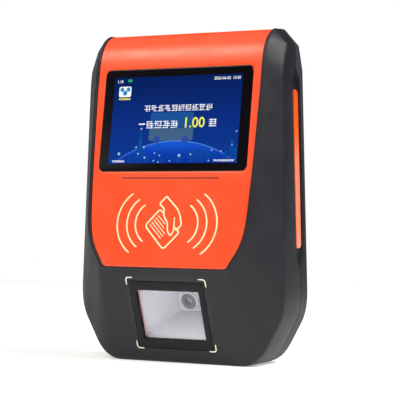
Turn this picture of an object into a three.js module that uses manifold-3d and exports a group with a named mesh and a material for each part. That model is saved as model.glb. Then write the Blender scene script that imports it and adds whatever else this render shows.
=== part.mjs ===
// Bus fare validator: a wall or pole mounted box with a screen, a contactless card zone and a code scanner.
// Millimetres, +Z up, the front faces -Y, +X to the right of a rider who stands in front of it.
// The origin is the middle of the box's footprint, on the surface it stands on.
import * as THREE from "three";
import { ConvexGeometry } from "three/addons/geometries/ConvexGeometry.js";
import { mergeVertices } from "three/addons/utils/BufferGeometryUtils.js";
import Module from "manifold-3d";

const wasm = await Module();
wasm.setup();

// Overall shape
const bodyHeight = 241.8;
const bodyDepth = 65;
const bodyHalfWidth = 84.6;
const shoulderNarrowing = 4.5; // the sides close in by this much from the widest point to the shoulder
const shoulderDrop = 12.5; // the shoulder facet: down from the top, and in from the side
const shoulderCut = 9.5;
const kneeHeight = 70; // where the leaning face meets the chin
const frontLean = THREE.MathUtils.degToRad(9.01);
const chinLean = THREE.MathUtils.degToRad(18.57);
const rollHeight = 27.8; // the face starts to roll back this far below the top
const rollEndGap = 10; // and meets the flat top this far in front of the parting plane
const rollCorner = 5.8; // the corner that the roll rounds off lies this far below the top
const rollEndDrop = 1.2; // and the roll ends this far below it
const ridgeSlope = 0.033; // the ridge beside the chamfer runs back by this share of its height
const shoulderSweep = 0.48; // and faster above the roll's start
const rearEdgeRound = 2; // the back's rounded edge
const rearEdgeInset = 1.6;
const rearTopSweep = 0.3; // how fast the back's edge comes forward above the roll's start
const flatBottomInset = 34.6; // lower corners: the flat bottom ends this far in from the side
const diagonalFoot = 21.2;
const diagonalAngle = THREE.MathUtils.degToRad(29);
const cornerHeight = 52;
const rearShellDepth = 13;
const chamferWidth = 12.5; // from the shoulder's side wall in to the face panel
const wall = 2.5;
const rimThickness = 9; // the walls are thick where the two shells meet
const rimBand = 7.6; // on each side of the parting plane
const seam = 0.3; // gap between pieces that touch

// Face panel and its raised edge bead
const panelThickness = 2.2;
const panelBottomNarrowing = 16.8;
const panelDiagonalHeight = 34;
const panelAboveKnee = 0.3;
const panelEndGap = 4; // the panel ends this far in front of the parting plane
const beadWidth = 2.4;
const beadHeight = 0.7;

// Screen
const glassWidth = 122.3;
const glassHeight = 75.7;
const glassThickness = 1.8;
const glassCorner = 4.5;
const glassBelowTop = 65; // centre of the glass, measured down from the top
const lcdSideInset = 0.8; // the panel behind the glass is smaller than the glass by this on each side
const lcdEndInset = 0.55;
const lcdThickness = 3;
const lcdBorder = 5.6;
const trayMargin = 1.6;
const trayFloor = 1.6;
const trayRibDepth = 3;
const trayRibWidth = 3;
const trayRibPitch = 40;
const glassTapeThickness = 0.4;

// Card zone
const cardZoneHeight = 102;
const antennaWidth = 92;
const antennaHeight = 46;
const antennaTrack = 13; // width of the coil's border on each side
const antennaEndTrack = 10;
const antennaThickness = 1.2;
const ferriteThickness = 0.6;
const ferriteMargin = 2;

// Scanner, in the chin
const windowWidth = 51.4;
const windowHeight = 38;
const windowCentreHeight = 35.2;
const scannerSideBorder = 4.9;
const scannerEndBorder = 7.1;
const scannerLedge = 2; // the frame overhangs the opening behind it by this
const scannerFrameThickness = 2.2;
const windowThickness = 1.2;
const reflectorWall = 1.2;
const collarRadius = 7.6;
const lensRadius = 6;
const lensLength = 11;
const lensBore = 3.2;
const lensRimWidth = 1.2;
const scannerRearClearance = 12;
const scannerBoardWidth = 38;
const scannerBoardHeight = 26;
const cradleWidth = 46;
const cradleHeight = 28;
const cradlePostX = 16;
const cradlePostY = 10;
const cradlePostRadius = 1.8;

// Side light bars, on the parting plane
const grooveWidth = 12;
const grooveDepth = 3;
const groovePoint = 10; // length of the pointed end
const grooveLow = 68.5;
const grooveBelowTop = 28.5;
const lightBarWidth = 7;
const lightBarEndGap = 15.5;
const lightChannelDepth = 2.2;
const lightBoardThickness = 1;

// Service bay in the back, with its door
const bayLow = 67;
const bayHeight = 54;
const bayHalfWidth = 50;
const bayWall = 6.5;
const bayDepth = 14.5;
const doorThickness = 2.2;
const doorOverlap = 3.6;
const hingeRadius = 2.2;
const hingePinRadius = 1;
const hingeKnuckle = 6; // height of the housing's knuckle at each end of the door
const lockRadius = 4.4;
const lockInset = 4;
const camLength = 11;
const camThickness = 1.4;
const camBehindSeat = 3.4;
const camSlotHalf = 9;
const lockTravelClearance = 0.6;
const sealThickness = 0.8;

// Mounting bracket in its recess, above the door
const bracketHalfWidth = 42;
const bracketHeight = 68;
const bracketThickness = 2;
const bracketTravel = 12;
const bracketBelowTop = 34;
const recessFloor = 2.4;
const hookWidth = 9;
const hookLip = 7;
const hookThickness = 2;
const hookBelowTop = 16;
const hookAboveBottom = 12;
const hookSideInset = 14;
const boltHoleRadius = 2.6;
const boltHoleX = 14;
const boltHoleAboveBottom = 22;
const boltHoleBelowTop = 26;
const cableWindowRadius = 9;

// Housing screws
const lowScrewInset = 23.6; // from the widest side
const highScrewInset = 10.6; // from the shoulder's side
const screwLow = 27;
const screwBelowTop = 37.8;
const screwRadius = 1.5;
const screwHeadRadius = 3;
const screwHeadDepth = 3;
const screwSocketRadius = 1.3;
const screwReach = 11; // how far a screw reaches in front of the parting plane
const bossRadius = 4.5;

// Sealing gasket between the two shells
const gasketInset = 6.3;
const gasketWidth = 1.4;
const gasketDepth = 1.6;

// Speaker, backup battery and cable grommet, low in the housing
const speakerRadius = 14;
const speakerX = 46;
const speakerZ = 43;
const grillePitch = 4.4;
const grilleMargin = 4;
const grilleSlotHeight = 1.8;
const batteryRadius = 6;
const batteryLength = 24;
const speakerDepth = 8;
const grommetRadius = 5.4;
const grommetBore = 3.7;
const grommetX = 34;
const grommetBehindParting = 7;

// Boards and what stands on them
const boardThickness = 1.6;
const chassisHalfWidth = 54;
const chassisAboveBay = 8;
const chassisBelowTop = 38;
const chassisThickness = 1;
const standoffLength = 6;
const standoffRadius = 2.2;
const standoffInset = 8;
const standoffEndInset = 6;
const lighteningRadius = 12;
const networkCardX = 24;
const networkCardWidth = 18;
const securityCardX = -42;
const securityCardPitch = 32;
const securityCardWidth = 24;
const resetX = 20;
const resetHeight = 7; // above the bottom of the bay
const resetButtonRadius = 1.7;
const resetSwitchHalf = 3;

// Status line under the screen
const slotLineLength = 80;
const slotLineWidth = 1.1;
const slotLineDepth = 0.5;
const slotLineHeight = 134;

// Worked out from the sizes above
const back = bodyDepth / 2;
const kneeDepth = beadHeight - bodyDepth / 2;
const parting = back - rearShellDepth;
const shoulderHalfWidth = bodyHalfWidth - shoulderNarrowing;
const panelHalfWidth = shoulderHalfWidth - chamferWidth;
const panelBottomHalf = panelHalfWidth - panelBottomNarrowing;
const rollStart = bodyHeight - rollHeight;
const rearInside = back - wall;
const shoulderHeight = bodyHeight - shoulderDrop;

function faceDepth(z) {
  const up = z - kneeHeight;
  return kneeDepth + Math.max(up * Math.tan(frontLean), -up * Math.tan(chinLean));
}

const ridgeDepth = (z) => faceDepth(0) + ridgeSlope * z;
const rollDepth = faceDepth(rollStart);
const rollEnd = parting - rollEndGap;
const panelEnd = parting - panelEndGap;
const lcdWidth = glassWidth - 2 * lcdSideInset;
const lcdHeight = glassHeight - 2 * lcdEndInset;
// How far the screen reaches in behind the face
const trayRear = glassThickness + lcdThickness + 4 * seam + trayRibDepth;
const scannerFrameWidth = windowWidth + 2 * scannerSideBorder;
const scannerFrameHeight = windowHeight + 2 * scannerEndBorder;
const scannerOpeningWidth = scannerFrameWidth - 2 * scannerLedge;
const scannerOpeningHeight = scannerFrameHeight - 2 * scannerLedge;
const grommetY = parting + grommetBehindParting;
const behindFace = -panelThickness - wall - 3 * seam - 0.4; // clear of the housing's inner face

const v2 = (x, y) => new THREE.Vector2(x, y);
const v3 = (x, y, z) => new THREE.Vector3(x, y, z);

// Colours and finishes
function finish(color, roughness, metalness = 0) {
  return new THREE.MeshStandardMaterial({ color, roughness, metalness });
}

const blackPlastic = () => finish(0x3a3a3f, 0.55);
const orangePlastic = () => finish(0xfd5a36, 0.42);
const glossBlack = () => finish(0x15131a, 0.08);
const whitePlastic = () => finish(0xe6e6ee, 0.4);
const boardGreen = () => finish(0x1d5c3a, 0.5);
const steel = () => finish(0xb9bcc2, 0.35, 0.9);
const rubber = () => finish(0x18181a, 0.85);
const connectorBlack = () => finish(0x202024, 0.5);
const gold = () => finish(0xd8b65a, 0.3, 0.9);

const root = new THREE.Group();

// Solids: three.js makes the shapes, manifold joins and cuts them
function solid(geometry, matrix) {
  const bare = geometry.clone();
  if (matrix) bare.applyMatrix4(matrix);
  bare.deleteAttribute("normal");
  bare.deleteAttribute("uv");
  const merged = mergeVertices(bare, 1e-4);
  const triVerts = new Uint32Array(merged.index.array);
  const vertProperties = merged.attributes.position.array;
  return new wasm.Manifold(new wasm.Mesh({ numProp: 3, vertProperties, triVerts }));
}

function geometryOf(made) {
  const { numProp, vertProperties, triVerts } = made.getMesh();
  const geometry = new THREE.BufferGeometry();
  const positions = new Float32Array((vertProperties.length / numProp) * 3);
  for (let i = 0; i < positions.length / 3; i++) {
    positions.set(vertProperties.subarray(i * numProp, i * numProp + 3), i * 3);
  }
  geometry.setAttribute("position", new THREE.BufferAttribute(positions, 3));
  geometry.setIndex(new THREE.BufferAttribute(new Uint32Array(triVerts), 1));
  geometry.computeVertexNormals();
  return geometry;
}

const join = (...made) => made.reduce((sum, next) => sum.add(next));
const cut = (body, ...tools) => tools.reduce((rest, tool) => rest.subtract(tool), body);

function add(name, shape, material, parent = root) {
  const geometry = shape.isBufferGeometry ? shape : geometryOf(shape);
  const mesh = new THREE.Mesh(geometry, material);
  mesh.name = name;
  parent.add(mesh);
  return mesh;
}

// A box between two corners, a cylinder between two points, a plate of a drawn outline
function box(x0, x1, y0, y1, z0, z1) {
  const geometry = new THREE.BoxGeometry(x1 - x0, y1 - y0, z1 - z0);
  return solid(geometry, new THREE.Matrix4().makeTranslation((x0 + x1) / 2, (y0 + y1) / 2, (z0 + z1) / 2));
}

function rod(from, to, radius, sides = 16, endRadius = radius) {
  const along = to.clone().sub(from);
  const geometry = new THREE.CylinderGeometry(endRadius, radius, along.length(), sides);
  const turn = new THREE.Quaternion().setFromUnitVectors(v3(0, 1, 0), along.clone().normalize());
  const middle = from.clone().add(to).multiplyScalar(0.5);
  return solid(geometry, new THREE.Matrix4().compose(middle, turn, v3(1, 1, 1)));
}

const rodY = (x, z, y0, y1, radius, sides = 16) => rod(v3(x, y0, z), v3(x, y1, z), radius, sides);

function roundedRectangle(width, height, radius) {
  const shape = new THREE.Shape();
  const [x, y] = [width / 2, height / 2];
  shape.moveTo(radius - x, -y);
  shape.lineTo(x - radius, -y);
  shape.absarc(x - radius, radius - y, radius, -Math.PI / 2, 0, false);
  shape.lineTo(x, y - radius);
  shape.absarc(x - radius, y - radius, radius, 0, Math.PI / 2, false);
  shape.lineTo(radius - x, y);
  shape.absarc(radius - x, y - radius, radius, Math.PI / 2, Math.PI, false);
  shape.lineTo(-x, radius - y);
  shape.absarc(radius - x, radius - y, radius, Math.PI, Math.PI * 1.5, false);
  return shape;
}

// A plate in a local frame whose +Z points out of the surface: from depth `low` to `high`
function plate(shape, low, high, group) {
  const settings = { depth: high - low, bevelEnabled: false, curveSegments: 2 };
  const geometry = new THREE.ExtrudeGeometry(shape, settings);
  geometry.translate(0, 0, low);
  return solid(geometry, group ? group.matrixWorld : undefined);
}

function slab(width, height, low, high, radius, group) {
  return plate(roundedRectangle(width, height, radius), low, high, group);
}

// A frame on a leaning surface: +X to the right, +Y up along the surface, +Z out of it
function surfaceFrame(depth, height, turn) {
  const group = new THREE.Group();
  group.position.set(0, depth, height);
  group.rotation.x = Math.PI / 2 - turn;
  root.add(group);
  group.updateWorldMatrix(true, false);
  return group;
}

// Outlines in front view, right half, from the bottom centre to the top centre
function bodyOutline() {
  const path = new THREE.Path();
  const footX = bodyHalfWidth - diagonalFoot;
  const along = (t) => [footX + t * Math.sin(diagonalAngle), t * Math.cos(diagonalAngle)];
  const toSide = diagonalFoot / Math.sin(diagonalAngle);
  path.moveTo(0, 0);
  path.lineTo(bodyHalfWidth - flatBottomInset, 0);
  path.quadraticCurveTo(...along(0), ...along(toSide * 0.39));
  path.lineTo(...along(toSide * 0.78));
  path.quadraticCurveTo(...along(toSide), bodyHalfWidth, cornerHeight);
  const narrowing = shoulderNarrowing / (shoulderHeight - cornerHeight);
  const sideAt = (z) => bodyHalfWidth - narrowing * (z - cornerHeight);
  for (const z of [rollStart - 2, rollStart + 6, rollStart + 10]) path.lineTo(sideAt(z), z);
  path.lineTo(shoulderHalfWidth, shoulderHeight);
  path.lineTo(shoulderHalfWidth - shoulderCut, bodyHeight - 0.4);
  path.lineTo(0, bodyHeight);
  return path.getPoints(5);
}

function panelOutline() {
  const path = new THREE.Path();
  const low = kneeHeight + panelAboveKnee;
  path.moveTo(0, low);
  path.lineTo(panelBottomHalf - 2.3, low);
  path.quadraticCurveTo(panelBottomHalf + 0.4, low, panelBottomHalf + 2.1, low + 4.2);
  path.lineTo(panelBottomHalf + 7.4, low + 12.7);
  path.quadraticCurveTo(panelHalfWidth - 5, low + 20, panelHalfWidth - 3.6, low + panelDiagonalHeight);
  path.quadraticCurveTo(panelHalfWidth - 1.3, low + 66, panelHalfWidth, rollStart - 14);
  path.lineTo(panelHalfWidth, rollStart);
  path.lineTo(panelHalfWidth, bodyHeight + 10);
  path.lineTo(0, bodyHeight + 10);
  return path.getPoints(5);
}

// The same outline moved outwards (or inwards, when it is negative) by a distance
function offsetOutline(points, distance) {
  const outward = (a, b) => v2(b.y - a.y, a.x - b.x).normalize();
  return points.map((p, i) => {
    const before = outward(points[Math.max(i - 1, 0)], points[Math.max(i, 1)]);
    const last = points.length - 1;
    const after = outward(points[Math.min(i, last - 1)], points[Math.min(i + 1, last)]);
    const miter = before.clone().add(after).divideScalar(1 + before.dot(after));
    return v2(p.x, p.y).addScaledVector(miter, distance);
  });
}

// A prism of a half outline and its mirror image, between two depths
function outlinePrism(points, y0, y1) {
  const left = points.slice(1, -1).reverse().map((p) => v2(-p.x, p.y));
  const shape = new THREE.Shape([...points, ...left]);
  const geometry = new THREE.ExtrudeGeometry(shape, { depth: y1 - y0, bevelEnabled: false });
  geometry.rotateX(Math.PI / 2);
  geometry.translate(0, y1, 0);
  return solid(geometry);
}

// The box's outer form, all over smaller by `inset`: the hull of the face's edge, the ridge round it,
// the parting line and the back's edge
function body(inset) {
  const points = [];
  const put = (x, y, z) => points.push(v3(x, y, z), v3(-x, y, z));
  const chamferInset = 0.45 * inset; // the chamfer leans, so its edges move in by less than the walls
  const ridgeInset = 0.6 * inset;
  const above = (z) => Math.max(0, z - (rollStart - 2));
  const beadEdge = offsetOutline(panelOutline(), beadWidth + seam).filter((p) => p.y <= rollStart + 1);
  for (const p of beadEdge) put(p.x - chamferInset, faceDepth(p.y) + inset, p.y);
  const cornerZ = bodyHeight - rollCorner;
  const roll = new THREE.QuadraticBezierCurve(
    v2(rollDepth + inset, rollStart),
    v2(faceDepth(cornerZ) + inset, cornerZ - inset),
    v2(rollEnd + 0.3 * inset, bodyHeight - rollEndDrop - inset),
  );
  const rollX = panelHalfWidth + beadWidth + seam - chamferInset;
  for (const p of roll.getPoints(6)) put(rollX, p.x, p.y);
  for (const p of offsetOutline(bodyOutline(), -inset)) {
    const top = p.y > shoulderHeight + 2;
    const rearEdge = back - rearEdgeRound - inset - above(p.y) * rearTopSweep;
    if (!top) put(p.x, ridgeDepth(p.y) + ridgeInset + above(p.y) * shoulderSweep, p.y);
    put(p.x, parting, p.y);
    put(p.x, top ? parting + 2 : rearEdge, p.y);
    if (p.y < rollStart) put(p.x - rearEdgeInset, back - inset, Math.max(p.y, rearEdgeInset + inset));
  }
  const facetX = shoulderHalfWidth - shoulderCut - inset;
  put(facetX + 0.6, rollEnd - 4.3 + ridgeInset, bodyHeight - 2.8 - inset);
  const rearCurve = new THREE.QuadraticBezierCurve(
    v2(back - inset, rollStart - 4),
    v2(back - 0.5 - inset, cornerZ - inset),
    v2(parting + 3, bodyHeight - 0.4 - inset),
  );
  for (const p of rearCurve.getPoints(5)) put(facetX - 1, p.x, p.y);
  return solid(new ConvexGeometry(points));
}

const outline = bodyOutline();
const outer = body(0);
const inner = body(wall);
const underPanel = body(panelThickness + seam);
const innerFace = body(panelThickness + seam + wall);
const far = bodyDepth;

// Frames on the two faces
const glassHeightMiddle = bodyHeight - glassBelowTop;
const screen = surfaceFrame(faceDepth(glassHeightMiddle), glassHeightMiddle, frontLean);
const cardZone = surfaceFrame(faceDepth(cardZoneHeight), cardZoneHeight, frontLean);
const scanner = surfaceFrame(faceDepth(windowCentreHeight), windowCentreHeight, -chinLean);
const slotLine = surfaceFrame(faceDepth(slotLineHeight), slotLineHeight, frontLean);

// Each side wall's light groove: a frame on the wall at the parting plane
const sideTurn = Math.atan(shoulderNarrowing / (shoulderHeight - cornerHeight));
const grooveHigh = bodyHeight - grooveBelowTop;
const grooveMiddle = (grooveLow + grooveHigh) / 2;
const grooveLength = (grooveHigh - grooveLow) / Math.cos(sideTurn);
const sideX = bodyHalfWidth - (grooveMiddle - cornerHeight) * Math.tan(sideTurn);

function sideFrame(side) {
  const group = new THREE.Group();
  group.position.set(side * sideX, parting, grooveMiddle);
  const out = v3(side * Math.cos(sideTurn), 0, Math.sin(sideTurn));
  const up = v3(-side * Math.sin(sideTurn), 0, Math.cos(sideTurn));
  group.quaternion.setFromRotationMatrix(new THREE.Matrix4().makeBasis(up.clone().cross(out), up, out));
  root.add(group);
  group.updateWorldMatrix(true, false);
  return group;
}

const sides = { left: sideFrame(-1), right: sideFrame(1) };

function pointedSlot(width, length, pointLength) {
  const [x, y] = [width / 2, length / 2];
  const shape = new THREE.Shape();
  shape.moveTo(0, -y);
  shape.lineTo(x, pointLength - y);
  shape.lineTo(x, y - pointLength);
  shape.lineTo(0, y);
  shape.lineTo(-x, y - pointLength);
  shape.lineTo(-x, pointLength - y);
  return shape;
}

const lightBarLength = grooveLength - 2 * lightBarEndGap;
const channelWidth = lightBarWidth + 1;
const channelLength = lightBarLength + 1;

const grooveTools = Object.values(sides).flatMap((group) => [
  plate(pointedSlot(grooveWidth, grooveLength, groovePoint), -grooveDepth, 12, group),
  slab(channelWidth, channelLength, -grooveDepth - lightChannelDepth, 0, channelWidth / 2 - 0.01, group),
]);

// Where the four housing screws go
const screwPlaces = [-1, 1].flatMap((side) => [
  v2(side * (bodyHalfWidth - lowScrewInset), screwLow),
  v2(side * (shoulderHalfWidth - highScrewInset), bodyHeight - screwBelowTop),
]);

// Service bay: the cavity, the door's seat and the hinge
const bayTop = bayLow + bayHeight;
const bayMiddle = bayLow + bayHeight / 2;
const bayFloor = rearInside + wall - bayDepth;
const doorFront = back - seam - doorThickness;
const doorSeat = doorFront - sealThickness - 2 * seam;
const doorLow = bayLow - doorOverlap;
const doorHigh = bayTop + doorOverlap;
const doorRight = bayHalfWidth + doorOverlap;
const hingeX = -bayHalfWidth - doorOverlap;
const hingeY = back - seam - hingeRadius;
const lockX = bayHalfWidth - lockRadius - lockInset;
const camY = doorSeat - camBehindSeat;

// Bracket recess, above the door
const bracketHigh = bodyHeight - bracketBelowTop;
const bracketLow = bracketHigh - bracketHeight;
const recessDepth = bracketThickness + seam;
const hookRows = [bracketHigh - hookBelowTop, bracketLow + hookAboveBottom];
const hookColumns = [-1, 1].map((side) => side * (bracketHalfWidth - hookSideInset));

function frontHousing() {
  const behind = box(-far * 3, far * 3, parting - seam / 2, far * 2, -far, bodyHeight * 2);
  const room = box(-far * 3, far * 3, -far, parting - rimBand, -far, bodyHeight * 2);
  const belowPanel = box(-far * 3, far * 3, -far, far, -far, kneeHeight - 4);
  const shell = cut(
    outer.subtract(behind),
    inner.intersect(room).intersect(innerFace.add(belowPanel)),
    outlinePrism(offsetOutline(outline, -rimThickness), parting - rimBand - 0.01, parting),
  );
  const bead = body(-beadHeight)
    .subtract(underPanel)
    .intersect(outlinePrism(offsetOutline(panelOutline(), seam + beadWidth), -far, panelEnd));
  const bossLimit = body(1);
  const bosses = screwPlaces.map((p) =>
    rodY(p.x, p.y, -far, parting - seam / 2, bossRadius).intersect(bossLimit));
  const pocket = cut(
    outlinePrism(offsetOutline(panelOutline(), seam), -far, panelEnd + seam),
    underPanel,
  );
  const screwHoles = screwPlaces.map((p) =>
    rodY(p.x, p.y, parting - screwReach - 1, parting + 1, screwRadius + 0.2, 12));
  const scannerSeat = [scannerFrameWidth + 2 * seam, scannerFrameHeight + 2 * seam];
  return cut(
    join(shell, bead, ...bosses),
    pocket,
    slab(glassWidth + 2 * seam, glassHeight + 2 * seam, -20, 10, 2, screen),
    slab(...scannerSeat, -scannerFrameThickness - seam, 10, 1.5, scanner),
    slab(scannerOpeningWidth, scannerOpeningHeight, -20, 10, 1.5, scanner),
    ...grooveTools,
    ...screwHoles,
  );
}

function frontPanel() {
  const skin = outer
    .intersect(outlinePrism(panelOutline(), -far, panelEnd))
    .subtract(body(panelThickness));
  return cut(
    skin,
    slab(glassWidth + 2 * seam, glassHeight + 2 * seam, -20, 10, glassCorner, screen),
    slab(slotLineLength, slotLineWidth, -slotLineDepth, 5, slotLineWidth / 2 - 0.01, slotLine),
  );
}

function rearHousing() {
  const shell = cut(
    outer.subtract(box(-far * 3, far * 3, -far, parting + seam / 2, -far, bodyHeight * 2)),
    inner.intersect(box(-far * 3, far * 3, parting + rimBand, far, -far, bodyHeight * 2)),
    outlinePrism(offsetOutline(outline, -rimThickness), parting, parting + rimBand + 0.01),
  );
  const bayBlock = box(
    hingeX - bayWall, doorRight + bayWall - 1, bayFloor, back, doorLow - 2.5, doorHigh + 2.5);
  const recessBlock = box(
    -bracketHalfWidth - 3, bracketHalfWidth + 3, back - recessDepth - recessFloor, back,
    bracketLow - bracketTravel - 3, bracketHigh + 3);
  const bosses = screwPlaces.map((p) => rodY(p.x, p.y, parting + seam / 2, back, bossRadius));
  const gasketGroove = cut(
    outlinePrism(offsetOutline(outline, -gasketInset + seam), parting, parting + gasketDepth),
    outlinePrism(offsetOutline(outline, -gasketInset - gasketWidth - seam), 0, far),
  );
  const screwHoles = screwPlaces.flatMap((p) => [
    rodY(p.x, p.y, parting - 1, far, screwRadius + 0.3, 12),
    rodY(p.x, p.y, back - screwHeadDepth, far, screwHeadRadius + seam, 16),
  ]);
  const slots = hookRows.flatMap((z) => hookColumns.map((x) =>
    box(x - hookWidth / 2 - 0.5, x + hookWidth / 2 + 0.5, parting, far,
      z - bracketTravel - hookThickness / 2 - 0.5, z + hookThickness / 2 + 0.5)));
  const grille = [-2, -1, 0, 1, 2].map((i) => {
    const middle = speakerZ + i * grillePitch;
    const half = Math.sqrt(speakerRadius ** 2 - (i * grillePitch) ** 2) - grilleMargin;
    return box(
      -speakerX - half, -speakerX + half, rearInside - 1, far,
      middle - grilleSlotHeight / 2, middle + grilleSlotHeight / 2);
  });
  const bossLimit = body(1);
  const trimmed = bosses.map((boss) => boss.intersect(bossLimit));
  const opened = cut(
    join(shell, bayBlock.intersect(outer), recessBlock.intersect(outer), ...trimmed),
    box(-bayHalfWidth, bayHalfWidth, parting - far, far, bayLow, bayTop),
    box(hingeX, doorRight + seam, doorSeat, far, doorLow - seam, doorHigh + seam),
  );
  const knuckles = [doorLow - seam, doorHigh - hingeKnuckle + 2 * seam].map((z) =>
    box(hingeX - 1, hingeX + hingeRadius + 0.4, doorSeat - 1, back - seam, z, z + hingeKnuckle - seam));
  const barrelLow = doorLow + hingeKnuckle - seam;
  const barrelHigh = doorHigh - hingeKnuckle + seam;
  const barrelRadius = hingeRadius + 0.5;
  return cut(
    join(opened, ...knuckles),
    rod(v3(hingeX, hingeY, barrelLow), v3(hingeX, hingeY, barrelHigh), barrelRadius),
    box(hingeX - barrelRadius, hingeX, hingeY, far, barrelLow, barrelHigh),
    rod(v3(hingeX, hingeY, doorLow), v3(hingeX, hingeY, doorHigh), hingePinRadius + 0.3, 12),
    box(
      bayHalfWidth - 1, lockX + camLength + 2,
      camY - lockTravelClearance, camY + camThickness + lockTravelClearance,
      bayMiddle - camSlotHalf, bayMiddle + camSlotHalf),
    box(-bracketHalfWidth - seam, bracketHalfWidth + seam, back - recessDepth, far,
      bracketLow - bracketTravel - seam, bracketHigh + seam),
    rod(v3(grommetX, grommetY, -5), v3(grommetX, grommetY, wall + 4), grommetRadius + seam),
    gasketGroove,
    ...slots,
    ...grille,
    ...grooveTools,
    ...screwHoles,
  );
}

function addCasing() {
  add("front_housing", frontHousing(), blackPlastic());
  add("front_panel", frontPanel(), orangePlastic());
  add("rear_housing", rearHousing(), blackPlastic());
  const gasket = cut(
    outlinePrism(offsetOutline(outline, -gasketInset), parting - 0.1, parting + gasketDepth - seam),
    outlinePrism(offsetOutline(outline, -gasketInset - gasketWidth), 0, far),
  );
  add("housing_gasket", gasket, rubber());
  screwPlaces.forEach((p, i) => {
    const head = rodY(p.x, p.y, back - screwHeadDepth + seam, back - 1, screwHeadRadius);
    const socket = rodY(p.x, p.y, back - 2, back, screwSocketRadius, 6);
    const shank = rodY(p.x, p.y, parting - screwReach, back - 2.5, screwRadius, 12);
    add(`housing_screw_${i + 1}`, join(head, shank).subtract(socket), steel());
  });
}

function addScreen() {
  const gasketFront = -glassThickness - seam;
  const gasketRear = gasketFront - glassTapeThickness;
  const lcdFront = gasketRear - seam;
  const lcdRear = lcdFront - lcdThickness;
  const cover = slab(glassWidth, glassHeight, -glassThickness, 0, glassCorner);
  add("display_glass", cover, glossBlack(), screen);
  const adhesive = slab(glassWidth - 1.5, glassHeight - 1.2, gasketRear, gasketFront, glassCorner - 0.7)
    .subtract(slab(lcdWidth - 2 * lcdBorder, lcdHeight - 1.5 * lcdBorder, -20, 5, 0.5));
  add("display_gasket", adhesive, rubber(), screen);
  const lcd = slab(lcdWidth, lcdHeight, lcdRear, lcdFront, 0.6);
  add("lcd_panel", lcd, finish(0x10307f, 0.3), screen);
  const traySize = [glassWidth + 2 * trayMargin, glassHeight + 2 * trayMargin];
  const tray = slab(...traySize, lcdRear - trayFloor, behindFace, 2)
    .subtract(slab(lcdWidth + 2 * seam, lcdHeight + 2 * seam, lcdRear - seam, 5, 0.8));
  const rib = slab(trayRibWidth, glassHeight, lcdRear - trayRibDepth, lcdRear - trayFloor + 0.1, 0.5);
  const ribs = [-1, 0, 1].map((i) => rib.translate(i * trayRibPitch, 0, 0));
  add("lcd_tray", join(tray, ...ribs), steel(), screen);
}

function addCardAntenna() {
  const boardRear = behindFace - antennaThickness;
  const board = slab(antennaWidth, antennaHeight, boardRear, behindFace, 3)
    .subtract(slab(antennaWidth - 2 * antennaTrack, antennaHeight - 2 * antennaEndTrack, -20, 0, 2));
  add("card_antenna", board, boardGreen(), cardZone);
  const ferriteFront = boardRear - seam;
  const ferriteSize = [antennaWidth - 2 * ferriteMargin, antennaHeight - 2 * ferriteMargin];
  const ferrite = slab(...ferriteSize, ferriteFront - ferriteThickness, ferriteFront, 2);
  add("antenna_ferrite", ferrite, finish(0x2b2b2e, 0.7), cardZone);
}

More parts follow.
